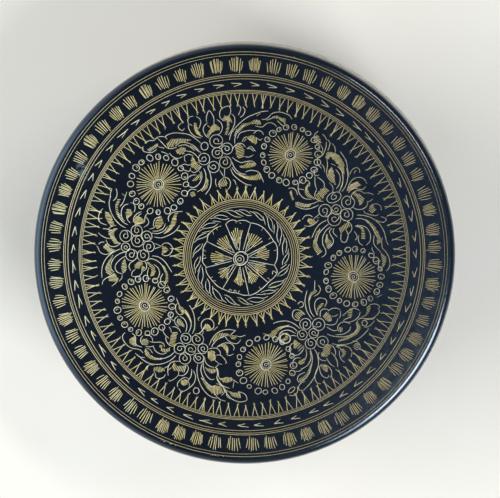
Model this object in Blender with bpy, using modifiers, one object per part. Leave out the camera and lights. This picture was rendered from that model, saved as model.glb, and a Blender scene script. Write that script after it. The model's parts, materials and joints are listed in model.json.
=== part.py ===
"""Go stone bowl: a lathe-turned wooden bowl with a lift-off lid, both lacquered.

Metres, +Z up. The origin is the centre of the circle that the foot ring stands on.
Both pieces are turned, so each one is a half section spun round the Z axis.
"""

import math

import bpy

# ---- driving dimensions: the bowl ------------------------------------------
BELLY_RADIUS = 0.0700        # widest part of the bowl
BELLY_HEIGHT = 0.0440        # height of the widest part above the table
SHOULDER_RADIUS = 0.0686     # outside of the bowl where the lid's edge meets it
SHOULDER_HEIGHT = 0.0720     # the ledge that the lid comes down on
SHOULDER_ROUND = 0.0011      # soft corner at the outside of that ledge
WALL = 0.0058                # wall at the belly
FLOOR = 0.0060               # floor between the foot recess and the inside
FLOOR_RADIUS = 0.0340        # flat middle of the inside floor
FOOT_RADIUS = 0.0440         # outside of the foot ring
FOOT_WIDTH = 0.0050          # width of the ring of wood that stands on the table
FOOT_HEIGHT = 0.0030         # how far the foot lifts the bowl
FOOT_EASE = 0.0006           # chamfer on both edges of the foot ring
COLLAR_HEIGHT = 0.0056       # locating collar, above the ledge
COLLAR_WALL = 0.0032         # its thickness
COLLAR_EASE = 0.0008         # its rounded top edges
BELLY_FULLNESS = 2.25        # exponent of the curve from belly to foot: 2 is an ellipse

# ---- driving dimensions: the lid -------------------------------------------
LID_SETBACK = 0.0005         # the lid's side lies this far inside the shoulder
LID_SKIRT = 0.0038           # wall of the lid's rim
LID_EDGE_HEIGHT = 0.0106     # from the ledge up to where the domed top begins
LID_EDGE_ROUND = 0.0024      # rounded edge between the side and the top
LID_CROWN = 0.0030           # rise of the domed top from its edge to its centre
LID_PANEL = 0.0042           # thickness of the top at its centre
LID_EASE = 0.0005            # chamfer on the lower edges of the rim

# ---- clearances --------------------------------------------------------------
SEAT_GAP = 0.0003            # between the ledge and the lid's lower edge
COLLAR_CLEARANCE = 0.0004    # between the collar and the inside of the lid's rim
COLLAR_TOP_GAP = 0.0009      # between the collar's top and the lid's ceiling

# ---- fineness of the meshes --------------------------------------------------
TURN_STEPS = 72              # facets round the axis
CURVE_STEPS = 9              # chords in each long curve of a section
CORNER_STEPS = 4             # chords in each small rounded corner

# ---- sizes that follow from the ones above -----------------------------------
LID_RADIUS = SHOULDER_RADIUS - LID_SETBACK
SKIRT_INSIDE = LID_RADIUS - LID_SKIRT
COLLAR_OUTSIDE = SKIRT_INSIDE - COLLAR_CLEARANCE
COLLAR_INSIDE = COLLAR_OUTSIDE - COLLAR_WALL
COLLAR_TOP = SHOULDER_HEIGHT + COLLAR_HEIGHT
FLOOR_TOP = FOOT_HEIGHT + FLOOR
SKIRT_BOTTOM = SHOULDER_HEIGHT + SEAT_GAP
CEILING_EDGE = COLLAR_TOP + COLLAR_TOP_GAP
DOME_EDGE = SHOULDER_HEIGHT + LID_EDGE_HEIGHT
DOME_TOP = DOME_EDGE + LID_CROWN

LACQUER_BLACK = (0.010, 0.013, 0.022, 1.0)


def clear_scene():
    for old in list(bpy.data.objects):
        bpy.data.objects.remove(old, do_unlink=True)


def arc(centre, radius, start_deg, end_deg, steps):
    """Points on a circle in the section plane; 0 degrees points outwards, 90 up."""
    points = []
    for i in range(steps + 1):
        angle = math.radians(start_deg + (end_deg - start_deg) * i / steps)
        points.append((centre[0] + radius * math.cos(angle),
                       centre[1] + radius * math.sin(angle)))
    return points


def quarter(side, base, fullness, steps):
    """A superellipse quarter from side, where it is upright, to base, where it is level."""
    points = []
    for i in range(steps + 1):
        angle = math.pi / 2 * i / steps
        across = math.cos(angle) ** (2 / fullness)
        down = math.sin(angle) ** (2 / fullness)
        points.append((base[0] + (side[0] - base[0]) * across,
                       side[1] + (base[1] - side[1]) * down))
    return points


def parabola(vertex, end, steps):
    """A curve that leaves vertex upright and bends to end, as a slack side does."""
    points = []
    for i in range(steps + 1):
        t = i / steps
        points.append((vertex[0] + (end[0] - vertex[0]) * t * t,
                       vertex[1] + (end[1] - vertex[1]) * t))
    return points


def crown(top, edge, steps):
    """A shallow dome from top, on the axis, out to edge."""
    points = []
    for i in range(steps + 1):
        t = i / steps
        points.append((edge[0] * t, top - (top - edge[1]) * t * t))
    return points


def bowl_section():
    """From the middle of the inside floor, up the inside, down the outside, to the axis."""
    inside_belly = (BELLY_RADIUS - WALL, BELLY_HEIGHT)
    ledge_corner = (SHOULDER_RADIUS - SHOULDER_ROUND, SHOULDER_HEIGHT - SHOULDER_ROUND)
    foot_inside = FOOT_RADIUS - FOOT_WIDTH
    section = [(0.0, FLOOR_TOP)]
    section += quarter(inside_belly, (FLOOR_RADIUS, FLOOR_TOP), BELLY_FULLNESS, CURVE_STEPS)[::-1]
    section += parabola(inside_belly, (COLLAR_INSIDE, COLLAR_TOP - COLLAR_EASE), CURVE_STEPS // 2)[1:]
    section += arc((COLLAR_INSIDE + COLLAR_EASE, COLLAR_TOP - COLLAR_EASE),
                   COLLAR_EASE, 180, 90, CORNER_STEPS)[1:]
    section += arc((COLLAR_OUTSIDE - COLLAR_EASE, COLLAR_TOP - COLLAR_EASE),
                   COLLAR_EASE, 90, 0, CORNER_STEPS)
    section += [(COLLAR_OUTSIDE, SHOULDER_HEIGHT)]
    section += arc(ledge_corner, SHOULDER_ROUND, 90, 0, CORNER_STEPS)
    section += parabola((BELLY_RADIUS, BELLY_HEIGHT),
                        (SHOULDER_RADIUS, ledge_corner[1]), CURVE_STEPS // 2)[:-1][::-1]
    section += quarter((BELLY_RADIUS, BELLY_HEIGHT), (FOOT_RADIUS, FOOT_HEIGHT),
                       BELLY_FULLNESS, CURVE_STEPS)[1:]
    section += [(FOOT_RADIUS, FOOT_EASE),
                (FOOT_RADIUS - FOOT_EASE, 0.0),
                (foot_inside + FOOT_EASE, 0.0),
                (foot_inside, FOOT_EASE),
                (foot_inside, FOOT_HEIGHT),
                (0.0, FOOT_HEIGHT)]
    return section


def lid_section():
    """From the crown on the axis, over the rounded edge, down the side, and back under."""
    edge_centre_radius = LID_RADIUS - LID_EDGE_ROUND
    edge_slope = 2 * LID_CROWN / edge_centre_radius
    edge_start = math.degrees(math.atan2(1.0, edge_slope))
    dome_radius = edge_centre_radius + LID_EDGE_ROUND * math.cos(math.radians(edge_start))
    edge_centre = (edge_centre_radius,
                   DOME_EDGE - LID_EDGE_ROUND * math.sin(math.radians(edge_start)))
    section = crown(DOME_TOP, (dome_radius, DOME_EDGE), CURVE_STEPS)
    section += arc(edge_centre, LID_EDGE_ROUND, edge_start, 0, CORNER_STEPS + 2)[1:]
    section += [(LID_RADIUS, SKIRT_BOTTOM + LID_EASE),
                (LID_RADIUS - LID_EASE, SKIRT_BOTTOM),
                (SKIRT_INSIDE + LID_EASE, SKIRT_BOTTOM),
                (SKIRT_INSIDE, SKIRT_BOTTOM + LID_EASE)]
    section += crown(DOME_TOP - LID_PANEL, (SKIRT_INSIDE, CEILING_EDGE), CURVE_STEPS)[::-1]
    return section


def lacquer(name):
    material = bpy.data.materials.new(name)
    material.use_nodes = True
    shader = material.node_tree.nodes["Principled BSDF"]
    shader.inputs["Base Color"].default_value = LACQUER_BLACK
    shader.inputs["Roughness"].default_value = 0.18
    shader.inputs["Metallic"].default_value = 0.0
    material.diffuse_color = LACQUER_BLACK
    return material


def turned(name, section, collection):
    """Spins a half section round the Z axis into one closed solid."""
    mesh = bpy.data.meshes.new(name)
    chords = [(i, i + 1) for i in range(len(section) - 1)]
    mesh.from_pydata([(x, 0.0, z) for x, z in section], chords, [])
    piece = bpy.data.objects.new(name, mesh)
    collection.objects.link(piece)
    spin = piece.modifiers.new("spin", "SCREW")
    spin.axis = "Z"
    spin.angle = math.tau
    spin.steps = TURN_STEPS
    spin.render_steps = TURN_STEPS
    spin.use_merge_vertices = True
    spin.merge_threshold = 0.00005
    spin.use_smooth_shade = True
    mesh.materials.append(lacquer(name + "_lacquer"))
    return piece


clear_scene()
parts = bpy.data.collections.new("go_stone_bowl")
bpy.context.scene.collection.children.link(parts)
turned("bowl_body", bowl_section(), parts)
turned("lid", lid_section(), parts)
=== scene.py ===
import json
import math
import random

import bpy
from mathutils import Matrix, Vector

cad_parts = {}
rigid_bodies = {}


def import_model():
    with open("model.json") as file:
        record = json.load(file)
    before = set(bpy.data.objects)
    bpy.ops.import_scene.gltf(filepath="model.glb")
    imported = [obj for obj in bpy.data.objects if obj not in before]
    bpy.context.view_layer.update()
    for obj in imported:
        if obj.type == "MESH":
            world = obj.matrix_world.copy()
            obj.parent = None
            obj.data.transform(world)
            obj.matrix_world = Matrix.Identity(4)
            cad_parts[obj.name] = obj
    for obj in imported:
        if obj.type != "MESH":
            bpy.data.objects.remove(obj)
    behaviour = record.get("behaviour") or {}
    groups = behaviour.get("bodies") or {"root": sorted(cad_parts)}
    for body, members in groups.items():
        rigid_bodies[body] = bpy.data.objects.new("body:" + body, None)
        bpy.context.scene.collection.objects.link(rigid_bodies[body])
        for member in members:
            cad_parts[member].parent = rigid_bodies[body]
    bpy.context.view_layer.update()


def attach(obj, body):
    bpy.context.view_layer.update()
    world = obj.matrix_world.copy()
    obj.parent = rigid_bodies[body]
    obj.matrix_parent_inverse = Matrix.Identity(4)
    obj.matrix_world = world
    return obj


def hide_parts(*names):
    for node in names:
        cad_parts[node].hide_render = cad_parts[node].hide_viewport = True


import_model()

# ---------------------------------------------------------------------------------------------
# The bowl: one block of wood turned hollow, with a collar that the lid drops over.
# The outside is black lacquer rubbed smooth; the inside is left as plain sealed wood.
MM = 0.001
BOWL_STEPS = 240
BELLY, BELLY_Z = 70.0, 44.0
SHOULDER, SHOULDER_Z, SHOULDER_ROUND = 68.6, 72.0, 1.1
FOOT, FOOT_WIDTH, FOOT_Z, FOOT_EASE = 44.0, 5.0, 3.0, 0.6
COLLAR_OUT, COLLAR_IN, COLLAR_TOP, COLLAR_EASE = 63.9, 60.7, 77.6, 0.8
INNER_BELLY, FLOOR, FLOOR_Z = 64.2, 34.0, 9.0
FULLNESS = 2.25


class Wire:
    """An output socket of a node tree. Sums written with it become Math nodes."""

    def __init__(self, tree, socket):
        self.tree, self.socket = tree, socket

    @staticmethod
    def node(tree, kind, settings=None, inputs=None, output=0):
        made = tree.nodes.new(kind)
        for name, value in (settings or {}).items():
            setattr(made, name, value)
        for key, value in (inputs or {}).items():
            if isinstance(value, Wire):
                tree.links.new(value.socket, made.inputs[key])
            else:
                made.inputs[key].default_value = value
        return Wire(tree, made.outputs[output])

    def out(self, name):
        return Wire(self.tree, self.socket.node.outputs[name])

    def math(self, operation, first, second=0.0):
        settings, inputs = {"operation": operation}, {0: first, 1: second}
        return Wire.node(self.tree, "ShaderNodeMath", settings, inputs)

    def __add__(self, other):
        return self.math("ADD", self, other)

    def __sub__(self, other):
        return self.math("SUBTRACT", self, other)

    def __mul__(self, other):
        return self.math("MULTIPLY", self, other)

    def __truediv__(self, other):
        return self.math("DIVIDE", self, other)

    def __pow__(self, other):
        return self.math("POWER", self, other)

    def __rsub__(self, other):
        return self.math("SUBTRACT", other, self)

    def __rtruediv__(self, other):
        return self.math("DIVIDE", other, self)

    __radd__ = __add__
    __rmul__ = __mul__


def new_material(name):
    """A new material's tree and shader, with the object coordinates in millimetres."""
    material = bpy.data.materials.new(name)
    material.use_nodes = True
    tree = material.node_tree
    shader = tree.nodes["Principled BSDF"]
    place = Wire.node(tree, "ShaderNodeTexCoord", output="Object")
    inputs = {"Vector": place, "Scale": 1000.0}
    place = Wire.node(tree, "ShaderNodeVectorMath", {"operation": "SCALE"}, inputs)
    return material, tree, shader, place


def noise(tree, place, scale, detail=3.0, roughness=0.55):
    inputs = {"Vector": place, "Scale": scale, "Detail": detail, "Roughness": roughness}
    return Wire.node(tree, "ShaderNodeTexNoise", inputs=inputs)


def span(value, low, high, new_low=0.0, new_high=1.0):
    inputs = {0: value, 1: low, 2: high, 3: new_low, 4: new_high}
    return Wire.node(value.tree, "ShaderNodeMapRange", inputs=inputs)


def mix(factor, first, second):
    inputs = {0: factor, 6: first, 7: second}
    return Wire.node(factor.tree, "ShaderNodeMix", {"data_type": "RGBA"}, inputs, 2)


def feed(shader, **wires):
    for name, wire in wires.items():
        wire.tree.links.new(wire.socket, shader.inputs[name.replace("_", " ")])


def bump(height, strength, distance):
    inputs = {"Strength": strength, "Distance": distance, "Height": height}
    return Wire.node(height.tree, "ShaderNodeBump", inputs=inputs)


def apart(place):
    """The x, y and z of a place, and its distance from the turning axis."""
    x = Wire.node(place.tree, "ShaderNodeSeparateXYZ", inputs={0: place})
    y, z = x.out("Y"), x.out("Z")
    return x, y, z, (x * x + y * y) ** 0.5


def lacquer():
    material, tree, shader, place = new_material("black_lacquer")
    x, y, z, radius = apart(place)
    cloud = span(noise(tree, place, 0.035, 4.0), 0.35, 0.65)
    rubbed = noise(tree, place, 0.6, 5.0, 0.7)
    section = Wire.node(tree, "ShaderNodeCombineXYZ", inputs={0: radius, 1: z})
    turning = noise(tree, section, 1.6, 2.0)
    hollows = noise(tree, place, 0.25, 2.0)
    scuff = (x + 51.8) ** 2.0 / 4.0 + (y - 27.7) ** 2.0 / 9.0
    scuff = span(scuff, 0.1, 1.6, 0.8, 0.0) * span(rubbed, 0.42, 0.6) * span(z, 80.0, 81.0)
    coat_and_sheen = mix(cloud, (0.0020, 0.0038, 0.0078, 1), (0.0038, 0.0060, 0.0112, 1))
    # painted reflection: the black grows lighter and bluer towards the right, standing in for a window
    # mirrored in the gloss
    coat_and_sheen = mix(span(x, 0.0, 60.0, 0.0, 0.7), coat_and_sheen, (0.0034, 0.0095, 0.0215, 1))
    feed(
        shader,
        Base_Color=mix(scuff, coat_and_sheen, (0.16, 0.19, 0.21, 1)),
        Roughness=span(rubbed, 0.3, 0.7, 0.14, 0.24),
        Normal=bump(turning * 0.25 + hollows, 0.10, 0.0004),
    )
    shader.inputs["Coat Weight"].default_value = 0.5
    shader.inputs["Coat Roughness"].default_value = 0.08
    return material


def plain_wood():
    material, tree, shader, place = new_material("turned_wood")
    inputs = {"Vector": place, "Location": (120.0, 40.0, 0.0), "Scale": (1.0, 1.0, 0.12)}
    log = Wire.node(tree, "ShaderNodeMapping", inputs=inputs)
    drift = noise(tree, log, 0.03, 3.0)
    fibre = noise(tree, log, 1.8, 4.0, 0.7)
    x, y, z, radius = apart(log)
    years = radius * 0.35 + drift * 6.0
    ring = years.math("FRACT", years)
    late = span(ring, 0.55, 1.0) * 0.6 + fibre * 0.4
    feed(
        shader,
        Base_Color=mix(late, (0.34, 0.20, 0.105, 1), (0.19, 0.095, 0.045, 1)),
        Roughness=span(fibre, 0.3, 0.7, 0.42, 0.58),
        Normal=bump(fibre + ring * 0.3, 0.15, 0.0003),
    )
    return material


def arc(centre, radius, start, end, steps):
    """Points of a small arc of the section; 0 degrees points outwards, 90 up."""
    turns = [math.radians(start + (end - start) * i / steps) for i in range(steps + 1)]
    return [(centre[0] + radius * math.cos(a), centre[1] + radius * math.sin(a)) for a in turns]


def quarter(side, base, steps):
    """A slightly squared quarter from side, where it is upright, to base, where it is level."""
    points = []
    for i in range(steps + 1):
        turn = math.pi / 2 * i / steps
        across, down = math.cos(turn) ** (2 / FULLNESS), math.sin(turn) ** (2 / FULLNESS)
        points.append((base[0] + (side[0] - base[0]) * across, side[1] + (base[1] - side[1]) * down))
    return points


def leaning(vertex, end, steps):
    """A curve that leaves vertex upright and bends to end."""
    turns = [i / steps for i in range(steps + 1)]
    return [(vertex[0] + (end[0] - vertex[0]) * t * t, vertex[1] + (end[1] - vertex[1]) * t) for t in turns]


def turned(name, legs, materials, steps):
    """Spins a section about the axis. Each leg is (material number, points), outside on its left."""
    section, kinds = [], []
    for kind, points in legs:
        kinds += [kind] * (len(points) - (not section))
        section += points
    rows, verts, faces, slots = [], [], [], []
    for r, z in section:
        turns = [0.0] if r == 0.0 else [math.tau * i / steps for i in range(steps)]
        rows.append(range(len(verts), len(verts) + len(turns)))
        verts += [(r * MM * math.cos(a), r * MM * math.sin(a), z * MM) for a in turns]
    for low, high, kind in zip(rows, rows[1:], kinds):
        for i in range(steps):
            j = (i + 1) % steps
            ring = [low[i % len(low)], high[i % len(high)], high[j % len(high)], low[j % len(low)]]
            faces.append(list(dict.fromkeys(ring)))
            slots.append(kind)
    mesh = bpy.data.meshes.new(name)
    mesh.from_pydata(verts, [], faces)
    for material in materials:
        mesh.materials.append(material)
    mesh.polygons.foreach_set("material_index", slots)
    mesh.polygons.foreach_set("use_smooth", [True] * len(faces))
    mesh.set_sharp_from_angle(angle=math.radians(40))
    made = bpy.data.objects.new(name, mesh)
    bpy.context.collection.objects.link(made)
    return made


LACQUER, WOOD = lacquer(), plain_wood()
corner = (SHOULDER - SHOULDER_ROUND, SHOULDER_Z - SHOULDER_ROUND)
eased = COLLAR_TOP - COLLAR_EASE
hollow = [(0.0, FLOOR_Z)] + quarter((INNER_BELLY, BELLY_Z), (FLOOR, FLOOR_Z), 40)[::-1]
hollow += leaning((INNER_BELLY, BELLY_Z), (COLLAR_IN, eased), 16)[1:]
collar = arc((COLLAR_IN + COLLAR_EASE, eased), COLLAR_EASE, 180, 90, 5)[1:]
collar += arc((COLLAR_OUT - COLLAR_EASE, eased), COLLAR_EASE, 90, 0, 5)
side = [(COLLAR_OUT, SHOULDER_Z)] + arc(corner, SHOULDER_ROUND, 90, 0, 8)
side += leaning((BELLY, BELLY_Z), (SHOULDER, corner[1]), 16)[:-1][::-1]
side += quarter((BELLY, BELLY_Z), (FOOT, FOOT_Z), 40)[1:]
side += arc((FOOT - FOOT_EASE, FOOT_EASE), FOOT_EASE, 0, -90, 3)
stand = arc((FOOT - FOOT_WIDTH + FOOT_EASE, FOOT_EASE), FOOT_EASE, -90, -180, 3)
recess = [(FOOT - FOOT_WIDTH, FOOT_Z), (0.0, FOOT_Z)]
legs = [(1, hollow), (1, collar), (0, side), (1, stand), (1, recess)]
bowl = turned("bowl_turning", legs, [LACQUER, WOOD], BOWL_STEPS)
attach(bowl, "bowl")
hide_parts("bowl_body")

# ---------------------------------------------------------------------------------------------
# The lid: a second turning, slightly domed, whose rim drops over the bowl's collar.
# It is lacquered outside like the bowl; the top carries all the drawing, the inside is plain.
LID, LID_ROUND, LID_EASE = 68.1, 2.4, 0.5
SKIRT_IN, SKIRT_Z, CEILING_Z, PANEL = 64.3, 72.3, 78.5, 4.2
DOME_TOP, DOME_EDGE = 85.6, 82.6
DOME_RISE = DOME_TOP - DOME_EDGE

edge_r = LID - LID_ROUND
edge_angle = math.atan2(1.0, 2 * DOME_RISE / edge_r)
dome_r = edge_r + LID_ROUND * math.cos(edge_angle)
edge_z = DOME_EDGE - LID_ROUND * math.sin(edge_angle)
dome = [(dome_r * t / 30, DOME_TOP - DOME_RISE * (t / 30) ** 2) for t in range(31)]
rim = arc((edge_r, edge_z), LID_ROUND, math.degrees(edge_angle), 0, 16)[1:]
rim += [(LID, SKIRT_Z + LID_EASE), (LID - LID_EASE, SKIRT_Z)]
under = [(SKIRT_IN + LID_EASE, SKIRT_Z), (SKIRT_IN, SKIRT_Z + LID_EASE), (SKIRT_IN, CEILING_Z)]
fall = DOME_TOP - PANEL - CEILING_Z
under += [(SKIRT_IN * t / 30, DOME_TOP - PANEL - fall * (t / 30) ** 2) for t in range(29, -1, -1)]
lid = turned("lid_turning", [(0, dome), (0, rim), (1, under)], [LACQUER, WOOD], BOWL_STEPS)
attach(lid, "lid")
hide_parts("lid")

# ---------------------------------------------------------------------------------------------
# The turned lines of the lid: cut with a point while the lid spins, down to the yellow coat
# under the black. Two single lines near the rim, then tight bundles of three, three and five further in.
STROKE, STROKE_RISE = 0.105, 0.03
MEDALLION_OFF = (-0.8, -0.25)
rng = random.Random(20)


def gold():
    """Each stroke carries a tone: low is pale straw, high the deeper gold of hatched patches."""
    material, tree, shader, place = new_material("engraved_gold")
    tone = Wire.node(tree, "ShaderNodeAttribute", {"attribute_name": "tone"}, output="Fac")
    # noise that roughens the edge of the painted shade below
    shade_edge_noise = noise(tree, place, 0.09, 3.0)
    patchy = noise(tree, place, 1.3, 3.0, 0.65)
    pale, deep, brown = (0.95, 0.87, 0.67, 1), (0.78, 0.56, 0.12, 1), (0.30, 0.215, 0.09, 1)
    x, y, z, radius = apart(place)
    tone_and_highlight = mix(tone + span(patchy, 0.35, 0.65, -0.25, 0.25), pale, deep)
    # painted highlight: strokes on the left side, towards the main light, turn a brighter yellow
    tone_and_highlight = mix(span(x, -62.0, -25.0, 0.65, 0.0), tone_and_highlight, (1.0, 0.87, 0.48, 1))
    tone_and_highlight = mix(span(tone, 1.2, 1.3, 0.0, 0.55), tone_and_highlight, (0.68, 0.55, 0.33, 1))
    # painted shade: strokes darken to brown towards the right and towards the rim, with a noisy edge
    painted_shade_right = span(x + shade_edge_noise * 40.0, -45.0, 75.0, 0.0, 0.95) * span(radius, 10.0, 45.0, 0.3, 0.92)
    # the patchy part is the strokes' own uneven tone; the rest is the painted shade
    dull_tone_and_shade = span(patchy, 0.52, 0.72, 0.0, 0.35) + painted_shade_right
    feed(
        shader,
        Base_Color=mix(dull_tone_and_shade, tone_and_highlight, brown),
        Roughness=span(patchy, 0.3, 0.7, 0.38, 0.55),
        Normal=bump(patchy, 0.2, 0.0002),
    )
    return material


GOLD = gold()


def new_tree(name, sizes):
    """A Geometry Nodes tree with named inputs: (name, socket kind, value)."""
    tree = bpy.data.node_groups.new(name, "GeometryNodeTree")
    shape = "NodeSocketGeometry"
    tree.interface.new_socket("Geometry", in_out="INPUT", socket_type=shape)
    for label, kind, value in sizes:
        made = tree.interface.new_socket(label, in_out="INPUT", socket_type="NodeSocket" + kind)
        if value is not None:
            made.default_value = value
    tree.interface.new_socket("Geometry", in_out="OUTPUT", socket_type=shape)
    given = Wire.node(tree, "NodeGroupInput", output="Geometry")
    return tree, given


def end_tree(tree, geometry, material):
    whole = Wire.node(tree, "GeometryNodeRealizeInstances", inputs={0: geometry})
    inputs = {"Geometry": whole, "Material": material}
    done = Wire.node(tree, "GeometryNodeSetMaterial", inputs=inputs)
    exit_node = tree.nodes.new("NodeGroupOutput")
    tree.links.new(done.socket, exit_node.inputs["Geometry"])


SWEEP = [
    ("Half Width", "Float", STROKE * MM),
    ("Rise", "Float", STROKE_RISE * MM),
    ("Gold", "Material", None),
]
DOME = [("Dome Top", "Float", DOME_TOP * MM), ("Dome Fall", "Float", DOME_RISE / (dome_r**2) / MM)]


def swept(tree, curves, given):
    """Ribbons along flat curves: a low ridge, as wide as each point's radius says."""
    points = Wire.node(tree, "GeometryNodeSplineLength", output="Point Count")
    hatched = points.math("LESS_THAN", points, 3.5)
    inputs = {2: 0.0, 3: 0.45, "Seed": 7}
    tone = Wire.node(tree, "FunctionNodeRandomValue", {"data_type": "FLOAT"}, inputs, 1)
    settings = {"data_type": "FLOAT", "domain": "CURVE"}
    ringed = points.math("GREATER_THAN", points, 140.0)
    inputs = {"Geometry": curves, "Name": "tone", "Value": tone + hatched * 0.55 + ringed * 1.3}
    curves = Wire.node(tree, "GeometryNodeStoreNamedAttribute", settings, inputs)
    flat = Wire.node(tree, "GeometryNodeSetCurveNormal", {"mode": "Z_UP"}, {"Curve": curves})
    inputs = {"Resolution": 4, "Radius": 1.0}
    ridge = Wire.node(tree, "GeometryNodeCurvePrimitiveCircle", inputs=inputs)
    inputs = {0: given.out("Half Width"), 1: given.out("Rise"), 2: 1.0}
    scale = Wire.node(tree, "ShaderNodeCombineXYZ", inputs=inputs)
    ridge = Wire.node(tree, "GeometryNodeTransform", inputs={"Geometry": ridge, "Scale": scale})
    radius = Wire.node(tree, "GeometryNodeInputRadius")
    inputs = {"Curve": flat, "Profile Curve": ridge, "Scale": radius, "Fill Caps": True}
    return Wire.node(tree, "GeometryNodeCurveToMesh", inputs=inputs)


def on_dome(tree, mesh, given):
    """Drops a flat drawing onto the lid's dome."""
    x, y, z, radius = apart(Wire.node(tree, "GeometryNodeInputPosition"))
    lift = given.out("Dome Top") - given.out("Dome Fall") * radius * radius
    lift = Wire.node(tree, "ShaderNodeCombineXYZ", inputs={2: lift})
    return Wire.node(tree, "GeometryNodeSetPosition", inputs={"Geometry": mesh, "Offset": lift})


def drawing_tree():
    tree, given = new_tree("drawn_on_lid", SWEEP + DOME)
    end_tree(tree, on_dome(tree, swept(tree, given, given), given), given.out("Gold"))
    return tree


DRAWN = drawing_tree()


def curve_object(name, strokes):
    """Strokes are (points in millimetres, widths, closed) with one width or one per point."""
    data = bpy.data.curves.new(name, "CURVE")
    data.dimensions = "3D"
    for points, widths, closed in strokes:
        widths = widths if isinstance(widths, (list, tuple)) else [widths] * len(points)
        spline = data.splines.new("POLY")
        spline.points.add(len(points) - 1)
        flat = [c for x, y in points for c in (x * MM, y * MM, 0.0, 1.0)]
        spline.points.foreach_set("co", flat)
        spline.points.foreach_set("radius", widths)
        spline.use_cyclic_u = closed
    made = bpy.data.objects.new(name, data)
    return made


def baked(made, tree, values, body):
    """Runs a tree on an object and keeps the plain mesh, which rides on the body."""
    bpy.context.collection.objects.link(made)
    modifier = made.modifiers.new("drawn", "NODES")
    modifier.node_group = tree
    values = {"Gold": GOLD, **values}
    for item in tree.interface.items_tree:
        if item.item_type == "SOCKET" and item.in_out == "INPUT" and item.name in values:
            modifier[item.identifier] = values[item.name]
    bpy.context.view_layer.update()
    graph = bpy.context.evaluated_depsgraph_get()
    mesh = bpy.data.meshes.new_from_object(made.evaluated_get(graph), depsgraph=graph)
    name = made.name
    bpy.data.objects.remove(made)
    mesh.name = name
    piece = bpy.data.objects.new(name, mesh)
    bpy.context.collection.objects.link(piece)
    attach(piece, body)
    return piece


def circle(radius, centre=(0.0, 0.0), steps=180, start=0.0):
    turns = [start + math.tau * i / steps for i in range(steps)]
    return [(centre[0] + radius * math.cos(a), centre[1] + radius * math.sin(a)) for a in turns]


def turned_line(radius, width, centre=(0.0, 0.0)):
    """A line cut on the lathe; its width breathes a little as the hand presses."""
    steps = 240 if radius > 30 else 150
    first, second = rng.uniform(0, 6), rng.uniform(0, 6)
    widths = []
    for i in range(steps):
        turn = math.tau * i / steps
        swell = 0.10 * math.sin(2 * turn + first) + 0.07 * math.sin(7 * turn + second)
        widths.append(width * (1 + swell + rng.uniform(-0.03, 0.03)))
    return circle(radius, centre, steps), widths, True


rim_lines = [turned_line(65.4, 0.75), turned_line(64.5, 0.6)]
pair_lines = [(58.15, 0.95), (57.6, 0.8), (56.75, 0.85)]
pair_lines = [turned_line(radius, width) for radius, width in pair_lines]
band_lines = [(53.1, 0.95), (52.65, 0.8), (52.2, 0.75)]
band_lines = [turned_line(radius, width) for radius, width in band_lines]
middle_lines = [(18.65, 1.15), (18.15, 0.9), (17.5, 0.8), (16.85, 0.65), (16.2, 0.9)]
middle_lines = [turned_line(radius, width, MEDALLION_OFF) for radius, width in middle_lines]
baked(curve_object("rim_lines", rim_lines), DRAWN, {}, "lid")
baked(curve_object("outer_pair_lines", pair_lines), DRAWN, {}, "lid")
baked(curve_object("tooth_band_lines", band_lines), DRAWN, {}, "lid")
baked(curve_object("middle_lines", middle_lines), DRAWN, {}, "lid")

# ---------------------------------------------------------------------------------------------
# The marks that repeat round the rings: fans of short scratches, side-lying arrowheads, long
# teeth. Each is a few strokes of the point, so no two are alike; a few variants stand in.


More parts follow.
